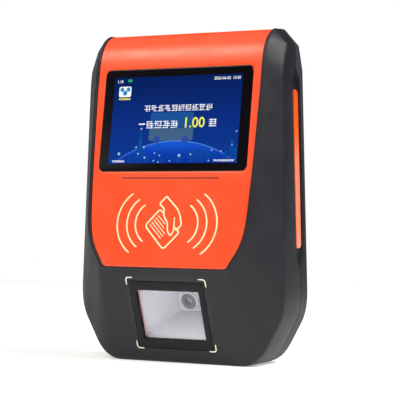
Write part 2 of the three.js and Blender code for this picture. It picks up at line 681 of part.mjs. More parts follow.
// The scanner's pieces sit in the chin's own frame, its axis square to the chin
function addScanner() {
  const frame = cut(
    slab(scannerFrameWidth, scannerFrameHeight, -scannerFrameThickness, 0, 1.2),
    slab(windowWidth, windowHeight, -20, 5, 0.6),
  );
  add("scanner_frame", frame, finish(0x1a1a1d, 0.35), scanner);
  const paneFront = -scannerFrameThickness - 2 * seam;
  const paneRear = paneFront - windowThickness;
  const paneWidth = scannerOpeningWidth - 2 * seam;
  const paneHeight = scannerOpeningHeight - 2 * seam;
  const pane = slab(paneWidth, paneHeight, paneRear, paneFront, 1.2);
  add("scanner_window", pane, finish(0xdfe6ea, 0.05), scanner);
  const reach = (rearInside - faceDepth(windowCentreHeight)) / Math.cos(chinLean);
  const boardRear = -(reach - scannerRearClearance);
  const boardFront = boardRear + boardThickness;
  const lensRear = boardFront + seam;
  const lensFront = lensRear + lensLength;
  const funnelMouth = paneRear - seam;
  const funnelThroat = lensFront - 2;
  const frustum = (grow, stretch) => {
    const geometry = new THREE.CylinderGeometry(Math.SQRT1_2, Math.SQRT1_2, 1, 4, 1);
    geometry.rotateY(Math.PI / 4);
    geometry.rotateX(Math.PI / 2);
    const places = geometry.attributes.position;
    const throat = 2 * collarRadius + 1.2 + 2 * grow;
    for (let i = 0; i < places.count; i++) {
      const atMouth = places.getZ(i) > 0;
      places.setX(i, places.getX(i) * (atMouth ? windowWidth + 1 + 2 * grow : throat));
      places.setY(i, places.getY(i) * (atMouth ? windowHeight + 1 + 2 * grow : throat));
      places.setZ(i, atMouth ? funnelMouth + stretch : funnelThroat - stretch);
    }
    return solid(geometry);
  };
  const flangeSize = [scannerOpeningWidth - 1, scannerOpeningHeight - 1];
  const flange = slab(...flangeSize, funnelMouth - 1.5, funnelMouth, 1);
  const reflector = cut(join(frustum(reflectorWall, 0), flange), frustum(0, 0.01));
  add("scanner_reflector", reflector, whitePlastic(), scanner);
  const axis = (z) => v3(0, 0, z);
  const collar = cut(
    rod(axis(lensRear + 2), axis(lensFront + 0.8), collarRadius, 24),
    rod(axis(-80), axis(0), lensRadius + seam, 24),
  );
  add("scanner_collar", collar, whitePlastic(), scanner);
  const barrel = cut(
    rod(axis(lensRear), axis(lensFront), lensRadius, 24),
    rod(axis(lensFront - lensRimWidth), axis(0), lensRadius - lensRimWidth, 20),
    rod(axis(lensFront - 3 * lensRimWidth), axis(0), lensBore, 16),
  );
  add("scanner_lens_barrel", barrel, finish(0x2a2a2e, 0.3), scanner);
  const glass = rod(axis(lensFront - 3.2), axis(lensFront - 2), lensBore - 0.4, 16);
  add("scanner_lens", glass, finish(0x202a44, 0.05), scanner);
  const board = slab(scannerBoardWidth, scannerBoardHeight, boardRear, boardFront, 1);
  add("scanner_board", board, boardGreen(), scanner);
  const cradle = cut(
    slab(cradleWidth, cradleHeight, boardFront + 3.4, boardFront + 5, 1.5),
    rod(axis(-80), axis(0), collarRadius + seam, 24),
  );
  const posts = [-cradlePostX, cradlePostX].flatMap((x) => [-cradlePostY, cradlePostY].map((y) =>
    rod(v3(x, y, boardFront + seam), v3(x, y, boardFront + 4), cradlePostRadius, 10)));
  add("scanner_cradle", join(cradle, ...posts), connectorBlack(), scanner);
}

function addLightBars() {
  for (const [side, group] of Object.entries(sides)) {
    const boardLow = -grooveDepth - lightChannelDepth + seam;
    const boardHigh = boardLow + lightBoardThickness;
    const barLow = boardHigh + seam;
    const bar = slab(lightBarWidth, lightBarLength, barLow, -0.5, lightBarWidth / 2 - 0.01);
    add(`light_bar_${side}`, bar, finish(0xff7430, 0.25), group);
    const board = slab(lightBarWidth - 1, lightBarLength - 2, boardLow, boardHigh, 1);
    add(`light_board_${side}`, board, finish(0xe9e9e4, 0.5), group);
  }
}

// Electronics behind the screen: a plate that carries the main board, and what is on it
function addElectronics() {
  const low = bayTop + chassisAboveBay;
  const high = bodyHeight - chassisBelowTop;
  const plateY = faceDepth(high) + trayRear + 1;
  const boardY = plateY + standoffLength;
  const chassis = box(-chassisHalfWidth, chassisHalfWidth, plateY, plateY + chassisThickness, low, high);
  const cornerX = chassisHalfWidth - standoffInset;
  const corners = [-cornerX, cornerX].flatMap((x) =>
    [low + standoffEndInset, high - standoffEndInset].map((z) => v2(x, z)));
  const standoffs = corners.map((p) =>
    rodY(p.x, p.y, plateY + 0.5, boardY - seam, standoffRadius, 10));
  const lightening = [-2, 2].map((side) =>
    rodY(side * lighteningRadius, low + 2 * lighteningRadius, plateY - 1, plateY + 2, lighteningRadius, 20));
  add("chassis_plate", cut(join(chassis, ...standoffs), ...lightening), steel());
  const boardRear = boardY + boardThickness;
  const mountHoles = corners.map((p) => rodY(p.x, p.y, boardY - 1, boardRear + 1, 1.6, 10));
  const board = box(2 - chassisHalfWidth, chassisHalfWidth - 2, boardY, boardRear, low, high);
  add("main_board", cut(board, ...mountHoles), boardGreen());
  const on = boardRear + seam;
  add("processor_shield", box(-38, -4, on, on + 2.6, high - 44, high - 12), steel());
  add("cellular_module", box(6, 36, on, on + 2.4, high - 42, high - 12), steel());
  add("power_converter", box(24, 38, on, on + 3, high - 62, high - 48), connectorBlack());
  const socket = box(-30, -2, boardY - seam - 3, boardY - seam, high - 30, high - 25);
  add("display_connector", socket, connectorBlack());
  const beside = shoulderHalfWidth - rimThickness - 1;
  const strip = box(-beside, -beside + 0.8, boardY - 4, boardY + 8, low + 10, high - 8);
  add("cellular_antenna", strip, finish(0x262629, 0.6));
  const patch = box(beside - 15, beside, boardY - 4, boardY + 11, high - 20, high - 16);
  add("positioning_antenna", patch, finish(0xc9c2b2, 0.6));
}

function addSpeakerAndBattery() {
  const front = rearInside - speakerDepth;
  const speaker = (y) => v3(-speakerX, y, speakerZ);
  const rim = rod(speaker(rearInside - seam - 1.6), speaker(rearInside - seam), speakerRadius, 28);
  const basket = rod(speaker(front + 2), speaker(rearInside - 1.6), 8, 28, speakerRadius - 1.5);
  const magnet = rod(speaker(front), speaker(front + 2.5), 7, 24);
  const bowl = rod(speaker(front + 3.4), speaker(rearInside + 1), 6, 28, speakerRadius - 1.2);
  add("speaker_basket", cut(join(rim, basket, magnet), bowl), finish(0x3b3c40, 0.5, 0.4));
  const cone = rod(speaker(front + 3.8), speaker(rearInside - 2.2), 4.6, 28, speakerRadius - 6.4);
  add("speaker_cone", cone, finish(0x1f1f22, 0.8));
  const cellY = rearInside - batteryRadius - 2.4;
  const [left, right] = [speakerX - batteryLength / 2, speakerX + batteryLength / 2];
  const onCell = (x) => v3(x, cellY, speakerZ);
  const holderReach = batteryRadius + 3;
  const holder = box(
    left - 4, right + 2, cellY, rearInside - seam, speakerZ - holderReach, speakerZ + holderReach);
  const seat = rod(onCell(left - 2), onCell(right), batteryRadius + seam, 20);
  add("battery_holder", holder.subtract(seat), connectorBlack());
  const cell = rod(onCell(left - 1), onCell(right - 1), batteryRadius, 20);
  add("backup_battery", cell, finish(0x3f6ea8, 0.35));
}

// In the service bay: the connection board and what plugs into it
function addServiceBay() {
  const boardRear = bayFloor - seam;
  const board = box(hingeX, doorRight, boardRear - boardThickness, boardRear, doorLow, doorHigh);
  add("connection_board", board, boardGreen());
  const on = bayFloor;
  const reachOf = (height) => on + height;
  const block = box(-44, -20, on, reachOf(9), bayLow + 3, bayLow + 14);
  const wireHoles = [-40, -34, -28, -24].map((x) =>
    box(x - 1.6, x + 1.6, reachOf(5), reachOf(12), bayLow + 5, bayLow + 8.5));
  add("power_terminal", cut(block, ...wireHoles), finish(0x3f8f4a, 0.5));
  const port = box(-14, 10, on, reachOf(9), bayLow + 3, bayLow + 15)
    .subtract(box(-12, 8, reachOf(2), reachOf(12), bayLow + 5, bayLow + 13));
  add("serial_port", port, steel());
  const slotOf = (x, width, z0, z1) => cut(
    box(x, x + width, on, reachOf(2.6), z0, z1),
    box(x - 1, x + width - 2, reachOf(0.8), reachOf(2), z0 + 1.5, z1 - 1.5),
  );
  const cardOf = (x, width, z0, z1) => box(
    x - 3, x + width - 2 - seam, reachOf(0.8) + seam / 2, reachOf(2) - seam / 2,
    z0 + 1.5 + seam, z1 - 1.5 - seam);
  const network = [networkCardX, networkCardWidth, bayTop - 18, bayTop - 3];
  add("network_card_socket", slotOf(...network), steel());
  add("network_card", cardOf(...network), finish(0xf2f2ee, 0.5));
  [0, 1].forEach((i) => {
    const x = securityCardX + i * securityCardPitch;
    const security = [x, securityCardWidth, bayTop - 19, bayTop - 2.5];
    add(`security_card_socket_${i + 1}`, slotOf(...security), connectorBlack());
    add(`security_card_${i + 1}`, cardOf(...security), gold());
  });
  const resetZ = bayLow + resetHeight;
  const half = resetSwitchHalf;
  const switchBody = box(resetX - half, resetX + half, on, reachOf(3.5), resetZ - half, resetZ + half)
    .subtract(rodY(resetX, resetZ, reachOf(1), reachOf(5), resetButtonRadius + seam, 12));
  add("reset_switch", switchBody, connectorBlack());
  const cap = rodY(resetX, resetZ, reachOf(1) + 1.2 + seam, reachOf(6), resetButtonRadius, 12);
  add("reset_button", cap, finish(0xd23b2c, 0.4));
}

function addServiceDoor() {
  const plateDoor = box(hingeX, doorRight, doorFront, back - seam, doorLow, doorHigh);
  const hinge = (z) => v3(hingeX, hingeY, z);
  const barrel = rod(hinge(doorLow + hingeKnuckle), hinge(doorHigh - hingeKnuckle), hingeRadius);
  const bore = rod(hinge(doorLow - 1), hinge(doorHigh + 1), hingePinRadius + 0.3, 12);
  const endRelief = [doorLow, doorHigh - hingeKnuckle].map((z) =>
    box(hingeX - 1, hingeX + hingeRadius + 1.2, doorFront - 1, far, z - 1, z + hingeKnuckle + 1));
  const lockBoss = rodY(lockX, bayMiddle, camY + camThickness + seam, back - 1, lockRadius + 1.8, 24);
  const lockHole = rodY(lockX, bayMiddle, 0, far, lockRadius + seam, 24);
  const scoop = (z) => v3(doorRight - 3, back + 2.2, z);
  const fingerScoop = rod(scoop(bayMiddle - 6), scoop(bayMiddle + 6), 3.2);
  const leaf = join(cut(plateDoor, ...endRelief), barrel, lockBoss);
  add("service_door", cut(leaf, bore, lockHole, fingerScoop), blackPlastic());
  const pin = rod(hinge(doorLow + 0.5), hinge(doorHigh - 0.5), hingePinRadius, 12);
  add("door_hinge_pin", pin, steel());
  const seal = cut(
    box(hingeX + 5, doorRight - 0.6, doorSeat + seam, doorFront - seam, doorLow + 0.6, doorHigh - 0.6),
    box(-bayHalfWidth + 3.4, bayHalfWidth - 0.2, 0, far, bayLow - 0.6, bayTop + 0.6),
  );
  add("door_seal", seal, rubber());
  const plug = cut(
    rodY(lockX, bayMiddle, camY + camThickness, back - seam, lockRadius, 24),
    box(lockX - 3, lockX + 3, back - 1.8, far, bayMiddle - 0.6, bayMiddle + 0.6),
  );
  add("door_lock_plug", plug, steel());
  const cam = join(
    box(lockX - 3.2, lockX + 3.2, camY - seam, camY + camThickness - seam, bayMiddle, bayMiddle + camLength),
    rodY(lockX, bayMiddle, camY - seam, camY + camThickness - seam, 3.2, 16),
  );
  add("door_lock_cam", cam, steel());
}

function addBracket() {
  const front = back - bracketThickness;
  const sheet = box(-bracketHalfWidth, bracketHalfWidth, front, back, bracketLow, bracketHigh);
  const neckFront = back - recessDepth - recessFloor - seam - hookThickness;
  const half = hookWidth / 2;
  const hooks = hookRows.flatMap((z) => hookColumns.flatMap((x) => [
    box(x - half, x + half, neckFront, front + 1, z - hookThickness / 2, z + hookThickness / 2),
    box(x - half, x + half, neckFront, neckFront + hookThickness, z - 1, z + hookLip),
  ]));
  const boltRows = [bracketLow + boltHoleAboveBottom, bracketHigh - boltHoleBelowTop];
  const holes = [-boltHoleX, boltHoleX].flatMap((x) =>
    boltRows.map((z) => rodY(x, z, 0, far, boltHoleRadius, 16)));
  const window = rodY(0, (bracketLow + bracketHigh) / 2, 0, far, cableWindowRadius, 24);
  add("mount_bracket", cut(join(sheet, ...hooks), ...holes, window), steel());
}

function addGrommet() {
  const axis = (z) => v3(grommetX, grommetY, z);
  const bushing = rod(axis(0.6), axis(wall + 3), grommetRadius, 20);
  add("cable_grommet", bushing.subtract(rod(axis(-5), axis(wall + 8), grommetBore, 20)), rubber());
}

addCasing();
addScreen();
addCardAntenna();
addScanner();
addLightBars();
addElectronics();
addSpeakerAndBattery();
addServiceBay();
addServiceDoor();
addBracket();
addGrommet();

export default root;
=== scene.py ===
import math
import random

import bmesh
import bpy
from mathutils import Matrix, Vector
from mathutils.geometry import interpolate_bezier


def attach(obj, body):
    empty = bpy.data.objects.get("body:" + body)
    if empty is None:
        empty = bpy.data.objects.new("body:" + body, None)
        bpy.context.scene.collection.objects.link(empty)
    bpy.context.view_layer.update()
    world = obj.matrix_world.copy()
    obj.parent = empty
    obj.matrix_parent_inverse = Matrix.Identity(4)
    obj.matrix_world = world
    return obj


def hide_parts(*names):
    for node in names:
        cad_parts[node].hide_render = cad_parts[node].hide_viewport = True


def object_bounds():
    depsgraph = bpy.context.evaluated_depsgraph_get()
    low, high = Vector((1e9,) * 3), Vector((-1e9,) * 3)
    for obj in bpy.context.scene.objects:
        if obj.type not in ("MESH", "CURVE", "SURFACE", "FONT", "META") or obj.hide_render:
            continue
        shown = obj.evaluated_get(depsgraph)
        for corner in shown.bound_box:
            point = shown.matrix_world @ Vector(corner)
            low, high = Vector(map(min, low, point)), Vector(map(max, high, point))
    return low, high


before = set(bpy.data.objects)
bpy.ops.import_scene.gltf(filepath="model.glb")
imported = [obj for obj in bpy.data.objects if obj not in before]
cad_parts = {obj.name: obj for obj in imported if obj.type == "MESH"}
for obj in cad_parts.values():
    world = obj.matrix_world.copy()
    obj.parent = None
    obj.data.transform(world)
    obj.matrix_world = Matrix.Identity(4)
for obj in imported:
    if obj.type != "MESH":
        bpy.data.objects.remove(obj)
cadBox = [list(corner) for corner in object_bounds()]
mm = 0.001

# Everything below is worked out in millimetres and brought to metres when a piece is finished.
# The box stands on the floor, faces -Y, and its front leans back from a knee above the chin.
farCorner = Vector(cadBox[1]) / mm
bodyHeight, halfDepth = farCorner.z, farCorner.y
seam = 0.3                  # the gap between two pieces that meet
mergeGap = 1e-4
cornerShare = 0.45          # the most of a line's length that rounding one end of it may take


def addObject(name, data):
    made = bpy.data.objects.new(name, data)
    bpy.context.scene.collection.objects.link(made)
    return made


def meshFrom(bm, name):
    mesh = bpy.data.meshes.new(name)
    bm.to_mesh(mesh)
    bm.free()
    return mesh


def smooth(mesh, angle):
    mesh.shade_smooth()
    mesh.set_sharp_from_angle(angle=math.radians(angle))


def placed(bm, matrix):
    bmesh.ops.transform(bm, matrix=matrix, verts=bm.verts)
    return bm


def finishPiece(bm, name, slot=None, replaces=(), material=None, body="housing", angle=30, scale=mm):
    # a piece takes its slot's finish unless it is given a material
    bmesh.ops.scale(bm, vec=(scale,) * 3, verts=bm.verts)
    mesh = meshFrom(bm, name)
    smooth(mesh, angle)
    piece = addObject(name, mesh)
    mesh.materials.append(material or finishes[slot])
    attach(piece, body)
    if replaces:
        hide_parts(*replaces)
    return piece


# The face, seen from the side: up the chin, the leaning face, the roll at the top, then back over the top
face = {
    "kneeHeight": 70.0,
    "faceLean": 9.01,
    "chinLean": 18.57,
    "beadRise": 0.7,
    "rollStart": 214.0,
    "rollCorner": 5.8,      # the roll's control point, below the top
    "rollEndDepth": 9.5,
    "rollEndDrop": 1.2,
    "partingDepth": 19.5,
    "rollSteps": 28,
}
kneeDepth = face["beadRise"] - halfDepth
leanSlope = math.tan(math.radians(face["faceLean"]))
chinSlope = math.tan(math.radians(face["chinLean"]))


def faceDepth(z):
    up = z - face["kneeHeight"]
    return kneeDepth + max(up * leanSlope, -up * chinSlope)


def quadratic(start, control, end, count):
    start, control, end = (Vector(p).to_3d() for p in (start, control, end))
    return interpolate_bezier(start, start.lerp(control, 2 / 3), end.lerp(control, 2 / 3), end, count)


def faceProfile():
    rollStart = Vector((faceDepth(face["rollStart"]), face["rollStart"]))
    corner = Vector((faceDepth(bodyHeight - face["rollCorner"]), bodyHeight - face["rollCorner"]))
    rollEnd = Vector((face["rollEndDepth"], bodyHeight - face["rollEndDrop"]))
    roll = [p.to_2d() for p in quadratic(rollStart, corner, rollEnd, face["rollSteps"])]
    chin = [Vector((faceDepth(0), 0)), Vector((kneeDepth, face["kneeHeight"]))]
    return chin + roll + [Vector((face["partingDepth"], bodyHeight))]


profile = faceProfile()
profileLengths = [-(profile[1] - profile[0]).length, 0.0]
for a, b in zip(profile[1:], profile[2:]):
    profileLengths.append(profileLengths[-1] + (b - a).length)


def outward(before, after):
    chord = (after - before).normalized()
    return Vector((-chord.y, chord.x))


def clamped(share):
    return min(max(share, 0), 1)


def onFace(x, along, rise=0.0):
    # a point of the face: x across it, `along` up it from the knee, `rise` out of it
    i, last = 0, len(profile) - 1
    while i < last - 1 and along > profileLengths[i + 1]:
        i += 1
    low, high = profile[i], profile[i + 1]
    share = (along - profileLengths[i]) / (high - low).length
    out = outward(low, high)
    if i > 1:
        # on the roll the direction turns from one corner of the profile to the next
        first, second = outward(profile[i - 1], high), outward(low, profile[min(i + 2, last)])
        out = first.lerp(second, clamped(share)).normalized()
    spot = low + (high - low) * share + out * rise
    return Vector((x, spot.x, spot.y))


rollAlong = (face["rollStart"] - face["kneeHeight"]) / math.cos(math.radians(face["faceLean"]))
topAlong = profileLengths[-1]
rollEndAlong = profileLengths[-2]


# Stations round the right half of every ring of the housing, from the bottom centre to the top centre:
# bottom, foot, diagonal, heel, side, roll, end and top
stationCounts = [8, 9, 6, 10, 18, 14, 4, 8]


def line(a, b, count):
    return [Vector(a).lerp(Vector(b), i / count) for i in range(count + 1)]


def curve(a, control, b, count):
    return [p.to_2d() for p in quadratic(a, control, b, count + 1)]


def route(start, *legs):
    # a leg is straight as (end, count), bent as (control, end, count), or a list of points that starts here
    points = [Vector(start)]
    for leg in legs:
        if isinstance(leg, tuple):
            leg = (line if len(leg) == 2 else curve)(points[-1], *leg)
        points += leg[1:]
    return points


# The orange panel, laid flat
panel = {
    "halfWidth": 67.6,
    "bottomHalf": 50.8,
    "aboveKnee": 0.3,
    "endGap": 4.0,           # the panel stops this far in front of the parting line
    "thickness": 2.2,
    "edgeRound": 0.45,
    # the lower corner, from the end of the bottom edge: (across, up)
    "bottomEnd": (-2.3, 0.0),
    "footControl": (0.4, 0.0),
    "diagonalStart": (2.1, 4.25),
    "diagonalEnd": (7.4, 12.9),
    # the side, from the widest place and the bottom edge
    "heelControl": (-5.0, 20.3),
    "sideStart": (-3.6, 34.5),
    "sideControl": (-1.3, 67.0),
    "straight": 14.0,        # the side is straight this far below the roll
    "steps": 26,             # rings between the outline and the opening
}
panelEnd = topAlong - panel["endGap"]


def panelEdge():
    # the panel's outline, right half, laid flat: (across, along)
    n, w, low = stationCounts, panel["halfWidth"], panel["aboveKnee"]

    def spotsFrom(across, *keys):
        return [(across + panel[key][0], low + panel[key][1]) for key in keys]

    corner, foot, diagonal, diagonalEnd = spotsFrom(panel["bottomHalf"], "bottomEnd", "footControl",
                                                    "diagonalStart", "diagonalEnd")
    heel, sideStart, bowed = spotsFrom(w, "heelControl", "sideStart", "sideControl")
    straight = (w, rollAlong - panel["straight"])
    return route((0, low), (corner, n[0]), (foot, diagonal, n[1]), (diagonalEnd, n[2]),
                 (heel, sideStart, n[3]), (bowed, straight, n[4] - 3), ((w, rollAlong), 3),
                 ((w, rollEndAlong), n[5]), ((w, panelEnd), n[6]), ((0, panelEnd), n[7]))


def offset(points, distance):
    # moves a half outline outwards; its two ends stay on the middle plane
    moved = []
    for i, p in enumerate(points):
        before = p - points[i - 1] if i else points[1] - p
        after = points[i + 1] - p if i < len(points) - 1 else before
        a, b = (Vector((d.y, -d.x)).normalized() for d in (before, after))
        moved.append(p + (a + b) / (1 + a.dot(b)) * distance)
    return moved


# The body: its outline seen from the front, and the ridge between its chamfer and its sides
body = {
    "halfWidth": 84.6,
    "shoulderHalf": 80.1,
    "shoulderDrop": 12.5,
    "shoulderCut": 9.5,
    "flatBottomInset": 34.6,
    "diagonalFoot": 21.2,
    "diagonalAngle": 29.0,
    "cornerHeight": 52.0,
    "ridgeSlope": 0.033,
    "shoulderSweep": 0.48,   # how fast the ridge runs back above the roll's start
    "facetFront": Vector((71.2, 5.2, 239.0)),
    "ridgeRound": 2.4,
    "shoulderRound": 1.3,
    "diagonalFlat": (0.39, 0.78),   # the shares of the diagonal between which it is straight
    "topEaseDrop": 0.4,
    # behind the facet and at the top centre, from the facet or the middle, the parting line and the top
    "facetBack": (-1.2, -3.0, -0.75),
    "crown": (0.0, -2.0, -0.35),
}
shoulderHeight = bodyHeight - body["shoulderDrop"]
partingFront = face["partingDepth"] - seam / 2


def sideAt(z):
    share = (z - body["cornerHeight"]) / (shoulderHeight - body["cornerHeight"])
    return body["halfWidth"] - share * (body["halfWidth"] - body["shoulderHalf"])


def roundCorner(before, corner, after, radius, count):
    # the short curve that takes the point off a corner, on either side of it
    first = corner + (before - corner).normalized() * radius
    last = corner + (after - corner).normalized() * radius
    return quadratic(first, corner, last, count + 1)


def bodyEdge():
    # the housing's outline in front view, right half, at the same stations: (x, z)
    n, w = stationCounts, body["halfWidth"]
    angle = math.radians(body["diagonalAngle"])
    foot = Vector((w - body["diagonalFoot"], 0))
    toSide = Vector((math.sin(angle), math.cos(angle))) * (body["diagonalFoot"] / math.sin(angle))
    flatEnd = (w - body["flatBottomInset"], 0)
    turnedUp, turnedSide = (foot + toSide * share for share in body["diagonalFlat"])
    side = (w, body["cornerHeight"])
    rollSide = Vector((sideAt(face["rollStart"]), face["rollStart"]))
    shoulder = Vector((body["shoulderHalf"], shoulderHeight))
    top = Vector((body["shoulderHalf"] - body["shoulderCut"], bodyHeight - body["topEaseDrop"]))
    centre = Vector((0, bodyHeight))
    atShoulder = [p.to_2d() for p in roundCorner(rollSide, shoulder, top, body["shoulderRound"], 4)]
    atTop = [p.to_2d() for p in roundCorner(shoulder, top, centre, body["shoulderRound"], n[6])]
    return route((0, 0), (flatEnd, n[0]), (foot, turnedUp, n[1]), (turnedSide, n[2]),
                 (foot + toSide, side, n[3]), (rollSide, n[4]), (atShoulder[0], n[5] - 7), atShoulder,
                 (atTop[0], 3), atTop, (centre, n[7]))


def ridgeRing():
    # where the chamfer round the face meets the side walls, at the same stations: (x, y, z)
    n, ring = stationCounts, []

    def ridgePoint(x, z):
        sweep = max(0, z - face["rollStart"] + 2) * body["shoulderSweep"]
        return Vector((x, faceDepth(0) + body["ridgeSlope"] * z + sweep, z))

    for p in bodyEdge()[:sum(n[:6]) - 6]:
        ring.append(ridgePoint(p.x, p.y))
    shoulder = ridgePoint(body["shoulderHalf"], shoulderHeight)
    facet = body["facetFront"]
    back = Vector((facet.x, partingFront, bodyHeight)) + Vector(body["facetBack"])
    centre = Vector((0, partingFront, bodyHeight)) + Vector(body["crown"])
    atShoulder = roundCorner(ring[-1], shoulder, facet, body["shoulderRound"], 4)
    atFacet = roundCorner(shoulder, facet, back, body["shoulderRound"], 2)
    return route(ring[0], ring, atShoulder, (atFacet[0], 3), atFacet, (back, n[6] - 2), (centre, n[7]))


def ofKind(geometry, kind):
    return [g for g in geometry if isinstance(g, kind)]


def loftHalf(bm, rings):
    # extrudes the first ring from one to the next and back to itself, then mirrors the half
    station = bm.verts.layers.int.new("station")
    verts = []
    for i, p in enumerate(rings[0]):
        v = bm.verts.new(p)
        v[station] = i
        verts.append(v)
    edges = [bm.edges.new(pair) for pair in zip(verts, verts[1:])]
    for ring in rings[1:] + rings[:1]:
        grown = bmesh.ops.extrude_edge_only(bm, edges=edges)["geom"]
        edges = ofKind(grown, bmesh.types.BMEdge)
        for v in ofKind(grown, bmesh.types.BMVert):
            v.co = ring[v[station]]
    bmesh.ops.remove_doubles(bm, verts=bm.verts, dist=mergeGap)
    for v in bm.verts:
        if abs(v.co.x) < 10 * mergeGap:
            v.co.x = 0
    bmesh.ops.mirror(bm, geom=bm.verts[:] + bm.edges[:] + bm.faces[:], axis="X", merge_dist=mergeGap)
    bmesh.ops.recalc_face_normals(bm, faces=bm.faces)


def bevelEdges(bm, edges, width, segments=3):
    return bmesh.ops.bevel(bm, geom=edges, offset=width, offset_type="OFFSET", segments=segments,
                           profile=0.5, affect="EDGES", clamp_overlap=True, material=-1)


# Flat pieces that lie in a leaning face: local +X across, +Y up it, +Z out of it
def faceMatrix(z, lean):
    tilt = math.radians(lean)
    up = Vector((0, math.sin(tilt), math.cos(tilt)))
    out = Vector((0, -math.cos(tilt), math.sin(tilt)))
    turn = Matrix((Vector((1, 0, 0)), up, out)).transposed().to_4x4()
    return Matrix.Translation((0, faceDepth(z), z)) @ turn


# the heights of the screen's, the card zone's and the scanner's middles
screenHeight, cardHeight, scannerHeight = 176.8, 102.0, 35.2
screenMatrix = faceMatrix(screenHeight, face["faceLean"])
cardMatrix = faceMatrix(cardHeight, face["faceLean"])
scannerMatrix = faceMatrix(scannerHeight, -face["chinLean"])


def roundedSlab(bm, width, height, low, high, corner, rim=0.0, segments=10):
    # a plate with rounded corners, and a rounded rim on its outer side
    made = bmesh.ops.create_cube(bm, size=1.0)["verts"]
    bmesh.ops.scale(bm, vec=(width, height, high - low), verts=made)
    bmesh.ops.translate(bm, vec=(0, 0, (low + high) / 2), verts=made)
    upright = {e for v in made for e in v.link_edges if abs((e.verts[0].co - e.verts[1].co).z) > mergeGap}
    done = bevelEdges(bm, list(upright), corner, segments)
    if rim:
        shape = {f for v in done["verts"] for f in v.link_faces}
        around = {e for f in shape for e in f.edges
                  if all(abs(v.co.z - high) < mergeGap for v in e.verts) and e.calc_face_angle(0) > 1}
        bevelEdges(bm, list(around), rim)
    return bm


# Materials: each is mixed from noise in the piece's own place, so nothing on the box is one flat colour
def newMaterial(name, metallic=0.0, coat=0.0, specular=0.5):
    material = bpy.data.materials.new(name)
    material.use_nodes = True
    setInputs(shaderOf(material), {"Metallic": metallic, "Coat Weight": coat, "Coat Roughness": 0.08,
                                   "Specular IOR Level": specular})
    return material


def node(material, kind, **settings):
    made = material.node_tree.nodes.new("ShaderNode" + kind)
    for key, value in settings.items():
        setattr(made, key, value)
    return made


def link(material, source, target):
    material.node_tree.links.new(source, target)


def setInputs(made, values):
    for key, value in values.items():
        made.inputs[key].default_value = value


def shaderOf(material):
    return material.node_tree.nodes["Principled BSDF"]


def noiseOf(material, size, detail=3.0, stretch=(1, 1, 1)):
    # size is one grain's width in millimetres
    place = node(material, "TexCoord")
    mapping, noise = node(material, "Mapping"), node(material, "TexNoise")
    setInputs(mapping, {"Scale": stretch})
    setInputs(noise, {"Scale": 1 / (size * mm), "Detail": detail})
    link(material, place.outputs["Object"], mapping.inputs["Vector"])
    link(material, mapping.outputs["Vector"], noise.inputs["Vector"])
    return noise.outputs["Fac"]


def ramp(material, source, *stops):
    made = node(material, "ValToRGB")
    elements = made.color_ramp.elements
    while len(elements) < len(stops):
        elements.new(0.5)
    for element, (place, colour) in zip(elements, stops):
        element.position = place
        element.color = (*colour, 1)
    link(material, source, made.inputs["Fac"])
    return made.outputs["Color"]


def spread(material, source, low, high):
    made = node(material, "MapRange")
    setInputs(made, {"From Min": 0.3, "From Max": 0.7, "To Min": low, "To Max": high})
    link(material, source, made.inputs["Value"])
    return made.outputs["Result"]


def bump(material, source, depth):
    made = node(material, "Bump")
    setInputs(made, {"Strength": 1.0, "Distance": depth * mm})
    link(material, source, made.inputs["Height"])
    link(material, made.outputs["Normal"], shaderOf(material).inputs["Normal"])


def mixed(material, share, first, second, blend="MIX"):
    # share is a number, or what drives it
    made = node(material, "Mix", data_type="RGBA", blend_type=blend)
    if isinstance(share, float):
        setInputs(made, {"Factor": share})
    else:
        link(material, share, made.inputs["Factor"])
    link(material, first, made.inputs["A"])
    link(material, second, made.inputs["B"])
    return made.outputs["Result"]


def heightShare(material, low, high):
    # 0 at `low` and 1 at `high`, both in metres above the floor
    parts, share = node(material, "SeparateXYZ"), node(material, "MapRange")
    link(material, node(material, "TexCoord").outputs["Object"], parts.inputs["Vector"])
    setInputs(share, {"From Min": low, "From Max": high})
    link(material, parts.outputs["Z"], share.inputs["Value"])
    return share.outputs["Result"]


def surface(name, colours, rough, grain=0.5, grainDepth=0.02, patch=18.0, edgeHighlight=None, stretch=(1, 1, 1),
            **settings):
    # colours: the dark and the light of its variation; rough: the least and most roughness;
    # the edge colour is a painted highlight, the paler colour put along its convex edges
    material = newMaterial(name, **settings)
    dark, light = colours
    fine, broad = noiseOf(material, grain, stretch=stretch), noiseOf(material, patch, 4.0)
    tone = ramp(material, fine, (0.3, dark), (0.7, light))
    dusty = ramp(material, broad, (0.35, dark), (0.65, light))
    colour = mixed(material, 0.3, tone, dusty)
    # painted highlight: where the surface is convex (its pointiness) the colour turns to the paler edge colour
    if edgeHighlight:
        pointiness = node(material, "NewGeometry").outputs["Pointiness"]
        edges = ramp(material, pointiness, (0.52, (0, 0, 0)), (0.62, (1, 1, 1)))
        colour = mixed(material, edges, colour, ramp(material, fine, (0.35, light), (0.6, edgeHighlight)))
    link(material, colour, shaderOf(material).inputs["Base Color"])
    link(material, spread(material, broad, *rough), shaderOf(material).inputs["Roughness"])
    bump(material, fine, grainDepth)
    return material


def tint(value):
    # a display colour as the shader takes it
    channels = [int(value[i:i + 2], 16) / 255 for i in (0, 2, 4)]
    return tuple(c / 12.92 if c <= 0.04045 else ((c + 0.055) / 1.055) ** 2.4 for c in channels)


def printedInk(name, value, glow=0.0):
    colour = tint(value)
    material = surface(name, (colour, tuple(c * 0.93 for c in colour)), (0.4, 0.55), 0.3, 0.004)
    if glow:
        setInputs(shaderOf(material), {"Emission Color": (*colour, 1), "Emission Strength": glow})
    return material


